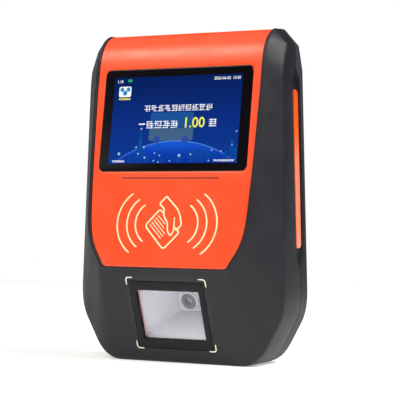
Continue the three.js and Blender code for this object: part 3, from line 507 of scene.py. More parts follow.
# Each slot's finish: its name, its dark and light tone, its least and most roughness, the grain's width
# and depth in millimetres, and what else it needs
finishValues = {
    # the two plastics' pale edge tones are painted highlights along their convex edges
    "black_plastic": ("grained_black_plastic", "151419", "1e1d22", 0.44, 0.54, 0.55, 0.035,
                      {"edgeHighlight": tint("3a3a40"), "specular": 0.3}),
    "orange_plastic": ("speckled_orange_shell", "f3451c", "fc542b", 0.32, 0.4, 0.8, 0.012,
                       {"edgeHighlight": tint("ff7a4e")}),
    "cover_glass": ("cover_glass_black", "0a080b", "0f0c10", 0.05, 0.09, 3.0, 0.0006, {"specular": 0.4}),
    "black_rubber": ("dull_black_rubber", "161617", "232325", 0.7, 0.85, 0.4, 0.02, {}),
    "screen": ("display_panel", "0a1c52", "0e2668", 0.2, 0.3, 2.0, 0.001, {}),
    "sheet_steel": ("zinc_plated_steel", "8d9096", "b4b7bc", 0.28, 0.42, 0.6, 0.01,
                    {"patch": 9.0, "stretch": (1, 1, 14), "metallic": 0.9}),
    "circuit_board": ("green_solder_mask", "14492c", "226a42", 0.3, 0.45, 0.9, 0.015, {"patch": 5.0}),
    "ferrite_sheet": ("grey_ferrite", "2a2a2d", "3a3a3e", 0.6, 0.7, 0.5, 0.01, {}),
    "scanner_bezel": ("smooth_black_bezel", "09080a", "0d0c0f", 0.24, 0.32, 0.6, 0.004, {"specular": 0.2}),
    "white_plastic": ("matt_white_reflector", "cfcfd8", "dadae2", 0.5, 0.6, 0.7, 0.006, {}),
    "lens_black": ("ringed_lens_black", "3c3b40", "55545a", 0.3, 0.42, 0.4, 0.01, {}),
    "lens_glass": ("coated_lens_glass", "1b2036", "2b3350", 0.03, 0.06, 2.0, 0.0005, {"coat": 1.0}),
    "light_board": ("white_solder_mask", "d8d8d2", "ecece6", 0.4, 0.5, 0.8, 0.01, {}),
    "connector_plastic": ("connector_black", "1b1b1e", "29292d", 0.45, 0.6, 0.4, 0.01, {}),
    "ceramic": ("antenna_ceramic", "bdb6a6", "cfc8b9", 0.6, 0.7, 0.5, 0.01, {}),
    "speaker_metal": ("speaker_frame_lacquer", "2f3033", "3d3e42", 0.35, 0.5, 0.7, 0.01, {"metallic": 0.4}),
    "speaker_paper": ("pressed_cone_paper", "1a1a1c", "2b2b2e", 0.75, 0.9, 0.3, 0.03, {}),
    "battery_wrap": ("blue_battery_wrap", "2f5f9c", "3f72b0", 0.25, 0.35, 1.0, 0.004, {}),
    "terminal_green": ("terminal_green_plastic", "37824a", "469a59", 0.45, 0.6, 0.5, 0.015, {}),
    "card_white": ("white_card_stock", "e8e8e3", "f4f4f0", 0.35, 0.45, 0.6, 0.003, {}),
    "card_gold": ("gold_contact_plate", "c7a24a", "e0bd68", 0.2, 0.32, 1.2, 0.004, {"metallic": 0.9}),
    "button_red": ("red_button_cap", "c6301f", "d8402c", 0.3, 0.4, 0.5, 0.006, {}),
    "lock_metal": ("plated_lock", "9b9da2", "c2c4c8", 0.15, 0.28, 0.8, 0.004, {"patch": 4.0, "metallic": 1.0}),
    "screw_steel": ("blackened_screw_steel", "6f7278", "8f9298", 0.25, 0.4, 0.5, 0.006,
                    {"patch": 3.0, "metallic": 0.95}),
    "clear_window": ("clear_scan_window", "eef2f6", "f8fafc", 0.02, 0.05, 4.0, 0.0004, {"coat": 1.0}),
}
windowAlpha = 0.07

print("materials: plastics, glass and metals")
finishes = {}
for slot, (name, dark, light, smoothest, roughest, grain, depth, more) in finishValues.items():
    finishes[slot] = surface(name, (tint(dark), tint(light)), (smoothest, roughest), grain, depth, **more)
setInputs(shaderOf(finishes["clear_window"]), {"Alpha": windowAlpha})

# The tinted light bar: deep orange at the top, and paler below where a reflection is painted into its colour; it
# glows a little as well
lightBar = {
    "stops": ((0.0, "ea7d60"), (0.55, "ea7555"), (0.72, "d9561f"), (1.0, "c94a14")),
    "glow": 0.12,
    "grain": 0.9,
    "rough": (0.16, 0.26),
}


def lightGuide(low, high):
    material = newMaterial("orange_light_guide_painted_reflection", specular=0.35)
    shader = shaderOf(material)
    stops = [(place, tint(value)) for place, value in lightBar["stops"]]
    # painted reflection: by height alone the colour runs from pale low down to deep orange at the top, and the
    # glow takes the same colours
    colour = ramp(material, heightShare(material, low * mm, high * mm), *stops)
    link(material, colour, shader.inputs["Base Color"])
    link(material, colour, shader.inputs["Emission Color"])
    setInputs(shader, {"Emission Strength": lightBar["glow"]})
    fine = noiseOf(material, lightBar["grain"])
    link(material, spread(material, fine, *lightBar["rough"]), shader.inputs["Roughness"])
    bump(material, fine, 0.004)
    return material


# The carried-over CAD pieces keep their shape and take the finish of their slot
def slotOf(piece):
    return piece.data.materials[0].name.split(".")[0]


slots = {name: slotOf(piece) for name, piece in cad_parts.items()}
for name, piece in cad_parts.items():
    if slots[name] in finishes:
        piece.data.materials[0] = finishes[slots[name]]


def evaluated(piece):
    return bpy.data.meshes.new_from_object(piece.evaluated_get(bpy.context.evaluated_depsgraph_get()))


def cutter(bm, matrix):
    placed(bm, matrix)
    bmesh.ops.recalc_face_normals(bm, faces=bm.faces)
    bmesh.ops.scale(bm, vec=(mm, mm, mm), verts=bm.verts)
    return addObject("cutter", meshFrom(bm, "cutter"))


def cutAway(piece, cutters, angle=30):
    for tool in cutters:
        piece.modifiers.new("cut", "BOOLEAN").object = tool
    mesh = evaluated(piece)
    piece.modifiers.clear()
    piece.data = mesh
    for tool in cutters:
        bpy.data.objects.remove(tool)
    smooth(mesh, angle)


# Light grooves down both sides, on the parting line
groove = {
    "width": 12.0,
    "depth": 3.0,
    "low": 68.5,
    "high": 213.3,
    "point": 10.0,
    "barWidth": 7.0,
    "barGap": 15.5,         # from each tip of the groove to the bar
    "channelDepth": 2.2,
    "channelGap": 1.0,      # how much wider and longer the channel is than the bar
    "boardThickness": 1.0,
    "barSunk": 0.5,
    "barRound": 1.1,
    "cutterRise": 12.0,
    "tipWidth": 0.02,       # what is left of the groove's width at its tips
}
sideTurn = math.atan((body["halfWidth"] - body["shoulderHalf"]) / (shoulderHeight - body["cornerHeight"]))
grooveLength = (groove["high"] - groove["low"]) / math.cos(sideTurn)
barLength = grooveLength - 2 * groove["barGap"]


def sideMatrix(side):
    middle = (groove["low"] + groove["high"]) / 2
    up = Vector((-side * math.sin(sideTurn), 0, math.cos(sideTurn)))
    out = Vector((side * math.cos(sideTurn), 0, math.sin(sideTurn)))
    turn = Matrix((up.cross(out), up, out)).transposed().to_4x4()
    return Matrix.Translation((side * sideAt(middle), face["partingDepth"], middle)) @ turn


def grooveCutters(side):
    pointed, rise, deep = bmesh.new(), groove["cutterRise"], groove["depth"]
    made = bmesh.ops.create_cube(pointed, size=1.0)["verts"]
    size = (groove["width"], grooveLength - 2 * groove["point"], deep + rise)
    bmesh.ops.scale(pointed, vec=size, verts=made)
    bmesh.ops.translate(pointed, vec=(0, 0, (rise - deep) / 2), verts=made)
    for end in (-1, 1):
        cap = [f for f in pointed.faces if f.normal.y * end > 0.9]
        grown = bmesh.ops.extrude_face_region(pointed, geom=cap)["geom"]
        tip = ofKind(grown, bmesh.types.BMVert)
        bmesh.ops.delete(pointed, geom=cap, context="FACES_ONLY")
        bmesh.ops.translate(pointed, vec=(0, end * groove["point"], 0), verts=tip)
        bmesh.ops.scale(pointed, vec=(groove["tipWidth"], 1, 1), verts=tip)
    gap = groove["channelGap"]
    width = groove["barWidth"] + gap
    channel = roundedSlab(bmesh.new(), width, barLength + gap, -deep - groove["channelDepth"], 1, width / 2 - 0.01)
    return [cutter(pointed, sideMatrix(side)), cutter(channel, sideMatrix(side))]


# The front housing: bead, chin, chamfer, ridge and side walls in one moulding
frontShell = {
    "pocketDepth": 2.6,     # the panel lies in this, inside the bead
    "bandSteps": 9,
    "filletSteps": 4,
    "edgeRound": 0.35,
    # the bead's section: out from the panel, and below the bead's top or above the face
    "bead": ((0.3, 0.3), (0.42, 0.1), (0.75, 0.0), (1.9, 0.0), (2.35, 0.15), (2.62, 0.4)),
    "beadFoot": ((2.8, 0.0), (3.0, -0.02)),
    "rimWidth": 6.5,        # the flat rim on the parting line
    "rimThickness": 2.0,
    "ledge": 3.0,           # how far the shell reaches in under the panel, and how thick it is there
    "ledgeDepth": 5.0,
    "skin": 6.0,            # from the ridge in to the inner side
    # the hole behind the scanner and its frame's seat: wider than the frame by, depth and corner
    "opening": (-4.0, 25.0, 1.5),
    "seat": (0.7, 2.5, 1.6),
    "cutterRise": 5.0,
    "sharpAngle": 24,
}


def between(first, second, share):
    return [a.lerp(b, share) for a, b in zip(first, second)]


def fillet(before, corner, after, radius, steps):
    # the rings that round one ring of a shell off, station by station
    arcs = []
    for a, b, c in zip(before, corner, after):
        first = b + (a - b).normalized() * min(radius, (a - b).length * cornerShare)
        last = b + (c - b).normalized() * min(radius, (c - b).length * cornerShare)
        arcs.append(quadratic(first, b, last, steps + 1))
    return [[arc[i] for arc in arcs] for i in range(steps + 1)]


def lip(distance, rise):
    # a line beside the panel; the bead sinks to nothing where it crosses the top
    sink = panelEnd - rollEndAlong
    return [onFace(p.x, p.y, rise * (1 - clamped((p.y - rollEndAlong) / sink)) if rise > 0 else rise)
            for p in offset(panelEdge(), distance)]


def depthRing(inset, depth):
    return [Vector((p.x, depth, p.y)) for p in offset(bodyEdge(), -inset)]


def makeFrontShell():
    n, rise, rim = frontShell, face["beadRise"], frontShell["rimWidth"]
    floor, edge = n["pocketDepth"], n["edgeRound"]
    bead = [lip(seam, -floor)] + [lip(out, rise - below) for out, below in n["bead"]]
    bead += [lip(out, up) for out, up in n["beadFoot"]]
    ridge, parting = ridgeRing(), depthRing(0, partingFront)
    ridgeRings = fillet(bead[-1], ridge, parting, body["ridgeRound"], n["filletSteps"])
    band = [between(bead[-1], ridgeRings[0], i / n["bandSteps"]) for i in range(1, n["bandSteps"])]
    partingRings = [depthRing(0, partingFront - edge), depthRing(0.1, partingFront - 0.1),
                    depthRing(edge, partingFront), depthRing(rim, partingFront)]
    deepest = partingFront - n["rimThickness"]
    innerWall = [Vector((p.x, min(q.y + n["skin"], deepest), p.z)) for p, q in zip(depthRing(rim, 0), ridge)]
    ledge = [lip(-n["ledge"], -floor - n["ledgeDepth"]), lip(-n["ledge"], -floor)]
    bm = bmesh.new()
    loftHalf(bm, bead + band + ridgeRings + partingRings + [innerWall] + ledge)
    shell = finishPiece(bm, "front_shell", "black_plastic", ["front_housing"])
    tools = []
    for grow, deep, corner in (n["opening"], n["seat"]):
        slab = roundedSlab(bmesh.new(), scanner["width"] + grow, scanner["height"] + grow, -deep,
                           n["cutterRise"], corner)
        tools.append(cutter(slab, scannerMatrix))
    cutAway(shell, tools + grooveCutters(1) + grooveCutters(-1), n["sharpAngle"])


# The code scanner in the chin
scanner = {
    "width": 61.2,
    "height": 52.2,
    "windowWidth": 51.4,
    "windowHeight": 38.0,
    "thickness": 2.2,
    "corner": 1.4,
    "windowCorner": 0.7,
    "edgeRound": 0.35,
    "markOuter": (33.3, 29.3, -27.1),   # half width, top and bottom of the aiming marks
    "markArm": 5.6,
    "markRound": 2.4,
    "markWidth": 0.95,
    "markRise": 0.08,
}


def rectangleEdge(halfWidth, halfHeight, corner, middle=0.0):
    # a rounded rectangle's right half, at the same stations: (across, along)
    n, low, high = stationCounts, middle - halfHeight, middle + halfHeight
    flat = halfWidth - corner
    return route((0, low), ((flat, low), sum(n[:3])), ((halfWidth, low), (halfWidth, low + corner), n[3]),
                 ((halfWidth, high - corner), n[4]), ((halfWidth, high), (flat, high), n[5]),
                 ((0, high), n[6] + n[7]))


def makeScannerFrame():
    outer = rectangleEdge(scanner["width"] / 2, scanner["height"] / 2, scanner["corner"])
    inner = rectangleEdge(scanner["windowWidth"] / 2, scanner["windowHeight"] / 2, scanner["windowCorner"])
    r, low = scanner["edgeRound"], -scanner["thickness"]

    def ring(edge, distance, height):
        return [Vector((p.x, p.y, height)) for p in offset(edge, distance)]

    rings = [ring(outer, 0, low), ring(outer, 0, -r), ring(outer, -0.1, -0.1), ring(outer, -r, 0),
             ring(inner, r, 0), ring(inner, 0.1, -0.1), ring(inner, 0, -r), ring(inner, 0, low)]
    bm = bmesh.new()
    loftHalf(bm, rings)
    finishPiece(placed(bm, scannerMatrix), "scanner_bezel_frame", "scanner_bezel", ["scanner_frame"])


# The orange panel: one skin bent over the face and the roll, with the opening for the glass
glass = {
    "width": 122.3,
    "height": 75.7,
    "thickness": 1.8,
    "corner": 4.5,
    "rimRound": 0.3,
    "middle": (screenHeight - face["kneeHeight"]) / math.cos(math.radians(face["faceLean"])),
}


def makeFacePanel():
    outer, t, r, steps = panelEdge(), panel["thickness"], panel["edgeRound"], panel["steps"]
    opening = rectangleEdge(glass["width"] / 2 + seam, glass["height"] / 2 + seam, glass["corner"] + seam,
                            glass["middle"])

    def ring(edge, distance, height):
        return [onFace(p.x, p.y, height) for p in offset(edge, distance)]

    def across(height):
        first, last = offset(outer, -r), offset(opening, r)
        return [[onFace(p.x, p.y, height) for p in between(first, last, i / steps)] for i in range(steps + 1)]

    outside = [ring(outer, 0, -t), ring(outer, 0, -r), ring(outer, -0.3 * r, -0.3 * r)]
    hole = [ring(opening, 0.3 * r, -0.3 * r), ring(opening, 0, -r), ring(opening, 0, -t)]
    bm = bmesh.new()
    loftHalf(bm, outside + across(0) + hole + across(-t)[::-1][1:-1])
    finishPiece(bm, "face_panel", "orange_plastic", ["front_panel"])


def makeGlass():
    bm = roundedSlab(bmesh.new(), glass["width"], glass["height"], -glass["thickness"], 0, glass["corner"],
                     glass["rimRound"])
    finishPiece(placed(bm, screenMatrix), "screen_glass", "cover_glass", ["display_glass"])


def makeLightBars():
    # each bar lies on its board, which lies on the channel's floor
    low = -groove["depth"] - groove["channelDepth"] + seam + groove["boardThickness"] + seam
    for side, label in ((-1, "left"), (1, "right")):
        bm = roundedSlab(bmesh.new(), groove["barWidth"], barLength, low, -groove["barSunk"],
                         groove["barWidth"] / 2 - 0.01, groove["barRound"], 12)
        guide = lightGuide(groove["low"] + groove["barGap"], groove["high"] - groove["barGap"])
        placed(bm, sideMatrix(side))
        finishPiece(bm, "side_light_" + label, "light_guide", ["light_bar_" + label], guide)


# CAD pieces whose shape is right but whose edges are moulded: a merged copy with its edges eased
easing = {
    "merge": 2e-6,          # metres
    "flatAngle": 0.6,
    "sharpAngle": 32,
    "segments": 2,
}
# the eased copy's name, the width of its edges and its body
easedPieces = {
    "rear_housing": ("rear_shell", 0.7, "housing"),
    "service_door": ("back_door", 0.5, "door"),
    "mount_bracket": ("wall_bracket", 0.35, "bracket"),
    "cable_grommet": ("cable_ring", 0.4, "housing"),
    "reset_button": ("reset_cap", 0.25, "reset"),
}
for number in range(1, 5):
    easedPieces["housing_screw_" + str(number)] = ("back_screw_" + str(number), 0.25, "housing")


def eased(source):
    name, width, rider = easedPieces[source]
    angle = easing["sharpAngle"]
    bm = bmesh.new()
    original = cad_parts[source]
    bm.from_mesh(original.data)
    bmesh.ops.remove_doubles(bm, verts=bm.verts, dist=easing["merge"])
    bmesh.ops.dissolve_limit(bm, angle_limit=math.radians(easing["flatAngle"]), verts=bm.verts,
                             edges=bm.edges)
    # the CAD piece is already in metres, so it keeps its scale
    piece = finishPiece(bm, name, slots[source], [source], original.data.materials[0], rider, angle, 1.0)
    ease = piece.modifiers.new("ease", "BEVEL")
    ease.width, ease.segments, ease.limit_method = width * mm, easing["segments"], "ANGLE"
    ease.angle_limit = math.radians(angle)
    ease.harden_normals = False


print("housing: front shell, panel, glass, scanner frame, light bars")
makeFrontShell()
makeFacePanel()
makeGlass()
makeScannerFrame()
makeLightBars()


# The lens: a ringed barrel in a white collar, at the bottom of the reflector
lens = {
    "radius": 6.0,
    "front": -28.0,
    "rear": -39.0,
    "rings": (5.1, 4.2, 3.5),
    "ringDepth": 0.45,
    "ringWidth": 0.3,
    "bore": 3.1,
    "boreDepth": 3.5,
    "throat": 16.2,         # the square opening at the bottom of the reflector
    "floorTop": 1.0,        # its floor lies this far behind the lens's front
    "floorBottom": 2.0,
    "collarRadius": 7.75,
    "spinSteps": 64,
}


def spun(bm, outline, steps):
    # turns an outline of (radius, height) points once round the Z axis
    verts = [bm.verts.new((r, 0, z)) for r, z in outline]
    edges = [bm.edges.new(pair) for pair in zip(verts, verts[1:])]
    bmesh.ops.spin(bm, geom=verts + edges, cent=(0, 0, 0), axis=(0, 0, 1), dvec=(0, 0, 0),
                   angle=2 * math.pi, steps=steps, use_merge=True, use_duplicate=False)
    bmesh.ops.remove_doubles(bm, verts=bm.verts, dist=mergeGap)
    bmesh.ops.recalc_face_normals(bm, faces=bm.faces)
    return bm


def makeLens():
    front, half, radius = lens["front"], lens["ringWidth"] / 2, lens["radius"]
    outline = [(0, lens["rear"]), (radius, lens["rear"]), (radius, front - 0.35), (radius - 0.1, front - 0.1),
               (radius - 0.35, front)]
    deep = front - lens["ringDepth"]
    for middle in lens["rings"]:
        outer, inner = middle + half, middle - half
        outline += [(outer, front), (outer, deep), (inner, deep), (inner, front)]
    bore, bottom = lens["bore"], front - lens["boreDepth"]
    outline += [(bore + 0.1, front), (bore, front - 0.2), (bore, bottom), (0, bottom)]
    barrel = placed(spun(bmesh.new(), outline, lens["spinSteps"]), scannerMatrix)
    finishPiece(barrel, "ringed_lens_barrel", "lens_black", ["scanner_lens_barrel"])
    plate = roundedSlab(bmesh.new(), lens["throat"], lens["throat"], front - lens["floorBottom"],
                        front - lens["floorTop"], 0.2, segments=2)
    throat = finishPiece(placed(plate, scannerMatrix), "reflector_floor", "white_plastic")
    hole, collar = bmesh.new(), lens["collarRadius"]
    bmesh.ops.create_cone(hole, cap_ends=True, segments=lens["spinSteps"], radius1=collar, radius2=collar,
                          depth=8)
    bmesh.ops.translate(hole, vec=(0, 0, front), verts=hole.verts)
    cutAway(throat, [cutter(hole, scannerMatrix)])


print("scanner lens, and the eased edges of the back")
makeLens()
for source in easedPieces:
    eased(source)


# Printed lines: a stroke is a flat ribbon about a tenth of a millimetre proud, with round ends
printing = {
    "rise": 0.1,
    "bevelSteps": 3,
    "endShare": 0.75,       # how wide a line still is at its ends
    "cornerSteps": 6,
    "bowSteps": 20,
    "smoothAngle": 60,
}


def bmeshOfCurve(curve):
    holder = addObject(curve.name, curve)
    mesh = evaluated(holder)
    bpy.data.objects.remove(holder)
    bm = bmesh.new()
    bm.from_mesh(mesh)
    return bm


def strokes(name, lines, width, matrix, ink, rise=printing["rise"]):
    curve = bpy.data.curves.new(name, "CURVE")
    curve.dimensions = "3D"
    curve.bevel_depth, curve.bevel_resolution, curve.use_fill_caps = width / 2, printing["bevelSteps"], True
    for points in lines:
        spline = curve.splines.new("POLY")
        spline.points.add(len(points) - 1)
        for target, p in zip(spline.points, points):
            target.co = (p[0], p[1], 0, 1)
        spline.points[0].radius = spline.points[-1].radius = printing["endShare"]
    bm = bmeshOfCurve(curve)
    bmesh.ops.scale(bm, vec=(1, 1, 2 * rise / width), verts=bm.verts)
    finishPiece(placed(bm, matrix), name, material=ink, angle=printing["smoothAngle"])


def softened(points, radius):
    # the same line with its corners rounded
    points = [Vector(p).to_2d() for p in points]
    result = [points[0]]
    for before, p, after in zip(points, points[1:], points[2:]):
        r = min(radius, (before - p).length * cornerShare, (after - p).length * cornerShare)
        result += [q.to_2d() for q in roundCorner(before, p, after, r, printing["cornerSteps"])]
    return result + [points[-1]]


def bow(middle, radius, sweep, tilt):
    # an arc about `middle`, opening towards `tilt`
    count = printing["bowSteps"]
    angles = [math.radians(tilt - sweep + 2 * sweep * i / count) for i in range(count + 1)]
    return [(middle[0] + radius * math.cos(a), middle[1] + radius * math.sin(a)) for a in angles]


# The sign on the card zone: a hand that holds out a card, and waves on both sides of it
sign = {
    "lineWidth": 1.2,
    "hatchWidth": 0.9,
    "cardStart": (-2.9, 39.6),
    "card": [(-5.9, 42.4), (-17.6, 30.5), (-1.1, 13.4), (11.2, 25.9)],
    "cardEnd": (8.0, 29.3),
    "hand": [(-2.9, 37.6), (-2.4, 42.6), (-6.6, 46.4), (-1.3, 51.9), (8.8, 42.4), (11.2, 37.2), (12.4, 31.3),
             (8.7, 27.3), (6.7, 29.9)],
    "thumb": [(6.4, 36.8), (6.5, 27.0), (4.1, 23.0), (1.3, 26.8), (0.9, 33.2), (-2.0, 36.6), (-2.7, 40.4)],
    "hatchStart": [(-7.2, 37.9), (-8.9, 36.3), (-10.5, 34.7), (-12.1, 33.1), (-13.6, 31.4)],
    "hatchEnd": [(-0.9, 31.9), (-1.6, 29.0), (-0.3, 24.5), (-2.0, 22.8), (-3.6, 21.3)],
    "cardRound": 2.9,
    "handRound": 0.9,
    "thumbRound": 2.6,
    "waveRadii": (15.8, 20.6, 25.6),
    "waveExtremes": (25.8, 33.0, 41.2),
    "waveSweep": 57.5,
    "middle": 32.2,
    "upFromKnee": 32.4,
}


zoneMatrix = cardMatrix @ Matrix.Translation((0, -sign["upFromKnee"], 0))


def makeSign():
    ink = printedInk("cream_print", "f8e2b4")
    cardLine = softened([sign["cardStart"], *sign["card"], sign["cardEnd"]], sign["cardRound"])
    hand, thumb = softened(sign["hand"], sign["handRound"]), softened(sign["thumb"], sign["thumbRound"])
    strokes("card_sign_hand", [cardLine, hand, thumb], sign["lineWidth"], zoneMatrix, ink)
    hatch = list(zip(sign["hatchStart"], sign["hatchEnd"]))
    strokes("card_sign_hatch", hatch, sign["hatchWidth"], zoneMatrix, ink)
    waves = []
    for radius, extreme in zip(sign["waveRadii"], sign["waveExtremes"]):
        waves.append(bow((radius - extreme, sign["middle"]), radius, sign["waveSweep"], 180))
        waves.append(bow((extreme - radius, sign["middle"]), radius, sign["waveSweep"], 0))
    strokes("card_sign_waves", waves, sign["lineWidth"], zoneMatrix, ink)


def makeAimingMarks():
    half, high, low = scanner["markOuter"]
    arm, inset = scanner["markArm"], scanner["markWidth"] / 2
    marks = []
    for x in (-1, 1):
        for y, end in ((1, high), (-1, low)):
            corner = Vector((x * (half - inset), end - y * inset))
            ends = corner + Vector((0, -y * arm)), corner + Vector((-x * arm, 0))
            marks.append(softened([ends[0], corner, ends[1]], scanner["markRound"]))
    ink = printedInk("pale_mark_print", "e8ebd2")
    strokes("scanner_aiming_marks", marks, scanner["markWidth"], scannerMatrix, ink, scanner["markRise"])


statusLine = {"half": 40.3, "up": 65.2, "width": 1.5, "rise": 0.06}
# the aiming lamp's red light, caught along the window's left edge
edgeLight = {"inset": 0.45, "endGap": 0.6, "width": 0.5, "depth": 2.5, "glow": 0.25}


def makeStatusLine():
    half, up = statusLine["half"], statusLine["up"]
    strokes("status_line", [[(-half, up), (half, up)]], statusLine["width"], zoneMatrix,
            printedInk("status_line_red", "842b1f"), statusLine["rise"])


def makeWindowEdge():
    x = edgeLight["inset"] - scanner["windowWidth"] / 2
    y = scanner["windowHeight"] / 2 - edgeLight["endGap"]
    deep = scannerMatrix @ Matrix.Translation((0, 0, -edgeLight["depth"]))
    strokes("window_edge_light", [[(x, -y), (x, y)]], edgeLight["width"], deep,
            printedInk("red_edge_light", "e0504a", edgeLight["glow"]))


print("printing: card sign, aiming marks, status line")
makeSign()
makeAimingMarks()
makeStatusLine()
makeWindowEdge()


# The lit picture under the glass: every shape of it is a thin plate, one just above the other.
# Its places are millimetres across from the middle, and up the face from the knee.
picture = {
    "width": 106.6,
    "height": 64.2,
    "layer": 0.02,
    "plate": 0.012,
    "glow": 0.85,
    "hill": (2.0, 3.4, 88.4),     # the round hill's middle and radius
    "hillRim": 0.9,
    "towers": ((-29, 3, 85), (-25, 2.4, 86.5), (-21, 3.4, 82), (-35, 4, 80), (-8, 5, 79), (6, 6, 80.5),
               (16, 4, 84.5), (20.5, 3, 86.3), (25, 4, 85.4), (30, 3.4, 84), (44, 3, 84.5), (48.5, 2.4, 92),
               (51.5, 2.2, 87)),
    "mast": (-27.1, 84, 17),      # the lattice tower's middle, foot and height
    "wordBars": 4,
    "wordPitch": 1.12,
}
low = picture["low"] = glass["middle"] - picture["height"] / 2
high = picture["high"] = glass["middle"] + picture["height"] / 2
half = picture["width"] / 2
onScreen = screenMatrix @ Matrix.Translation((0, -glass["middle"], 0))

# each ink: the heights between which its tones run, the tones, and its glow where it isn't the picture's
inkValues = {
    "sky": (low, high, {0.0: "0b3f9f", 0.45: "093290", 0.8: "052673", 1.0: "031f63"}),
    "hill_rim": (low, 92, {0.0: "2a62d8", 1.0: "4f86f4"}),
    "hill": (low, 92, {0.0: "0634a4", 0.45: "0a44bd", 1.0: "1a62e8"}),
    "coach_body": (92, 102, {0.0: "4c6f92", 1.0: "46698f"}),
    "coach_windows": (102, 114, {0.0: "22589c", 1.0: "1d5aa8"}),
    "coach_wheels": (90, 96, {0.0: "2f4ea2", 1.0: "3857b4"}),
    "skyline": (76, 101, {0.0: "0a44ae", 0.6: "0c55a6", 1.0: "164f98"}),
    "lights": (76, 102, {0.0: "9fd2f6", 1.0: "b5c9ff"}),
    "white": (76, 141, {0.0: "f4f6ff", 1.0: "ffffff"}, 1.05),
    "yellow": (100, 112, {0.0: "e8f23c", 1.0: "f2f04a"}, 1.1),
    "green": (130, 141, {0.0: "2fb46a", 1.0: "36c274"}),
    "tile_blue": (124, 133, {0.0: "2a9fbe", 1.0: "2f9fd8"}),
}


def litInk(name, low, high, tones, glow=picture["glow"]):
    material = newMaterial("display_" + name, specular=0.25)
    shader = shaderOf(material)
    setInputs(shader, {"Base Color": (0.001, 0.002, 0.004, 1), "Roughness": 0.1, "Emission Strength": glow})
    low, high = ((onScreen @ Vector((0, y, 0))).z * mm for y in (low, high))
    stops = [(place, tint(value)) for place, value in tones.items()]
    colour = ramp(material, heightShare(material, low, high), *stops)
    shade = ramp(material, noiseOf(material, 0.7, 2.0), (0.3, (0.9,) * 3), (0.7, (1.0,) * 3))
    link(material, mixed(material, 1.0, colour, shade, "MULTIPLY"), shader.inputs["Emission Color"])
    return material


def plateAt(bm, x0, x1, y0, y1, corner=0.0):
    other = roundedSlab(bmesh.new(), x1 - x0, y1 - y0, 0, 1, max(corner, 0.01), segments=6 if corner else 1)
    bmesh.ops.translate(other, vec=((x0 + x1) / 2, (y0 + y1) / 2, 0), verts=other.verts)
    mesh = meshFrom(other, "plate")
    bm.from_mesh(mesh)
    bpy.data.meshes.remove(mesh)


def discAt(bm, x, y, radius, segments=14):
    made = bmesh.ops.create_cone(bm, cap_ends=True, segments=segments, radius1=radius, radius2=radius,
                                 depth=1.0)
    bmesh.ops.translate(bm, vec=(x, y, 0.5), verts=made["verts"])


def hillAt(bm, grow):
    # the part of the round hill that the picture shows
    x, y, radius = picture["hill"]
    discAt(bm, x, y, radius + grow, 256)
    for spot, normal in (((0, low, 0), (0, -1, 0)), ((half, 0, 0), (1, 0, 0)), ((-half, 0, 0), (-1, 0, 0))):
        cut = bmesh.ops.bisect_plane(bm, geom=bm.verts[:] + bm.edges[:] + bm.faces[:], plane_co=spot,
                                     plane_no=normal, clear_outer=True)
        bmesh.ops.holes_fill(bm, edges=ofKind(cut["geom_cut"], bmesh.types.BMEdge))


def skylineAt(bm):
    for x, width, top in picture["towers"]:
        plateAt(bm, x - width / 2, x + width / 2, low + 0.3, top, 0.3)
    x, foot, height = picture["mast"]
    for share in (0.0, 0.3, 0.6, 0.85):
        y, halfWidth = foot + height * share, 2.6 * (1 - share) ** 2 + 0.25
        plateAt(bm, x - halfWidth, x + halfWidth, y, y + 5.2, 0.25)


def numbersAt(bm, text, size, x, y, align="LEFT"):
    # numbers in the plain built-in face, as flat plates
    letters = bpy.data.curves.new("numbers", "FONT")
    letters.body, letters.size, letters.align_x = text, size, align
    letters.extrude, letters.offset = 0.5, size * 0.012
    letters.resolution_u = 3
    written = bmeshOfCurve(letters)
    bmesh.ops.translate(written, vec=(x, y, 0.5), verts=written.verts)
    for v in written.verts:
        v.co.z = 1.0 if v.co.z > 0.5 else 0.0
    bmesh.ops.remove_doubles(written, verts=written.verts, dist=1e-5)
    bm.from_mesh(meshFrom(written, "numbers"))


def wordsAt(bm, x, y, size, count, thin):
    # square bundles of short bars that stand for words and spell none
    chance = random.Random(count)
    step = size / picture["wordBars"]
    for i in range(count):
        left = x + i * size * picture["wordPitch"]
        for row in range(picture["wordBars"]):
            start = chance.choice((0.02, 0.02, 0.4))
            end = chance.choice((0.62, 0.98, 0.98))
            bar = y + (row + 0.5) * step - thin / 2
            plateAt(bm, left + start * size, left + end * size, bar, bar + thin)
        for post in (chance.uniform(0.08, 0.35), chance.uniform(0.55, 0.85)):
            foot = chance.choice((0.05, 0.3))
            plateAt(bm, left + post * size, left + post * size + thin, y + foot * size, y + 0.95 * size)


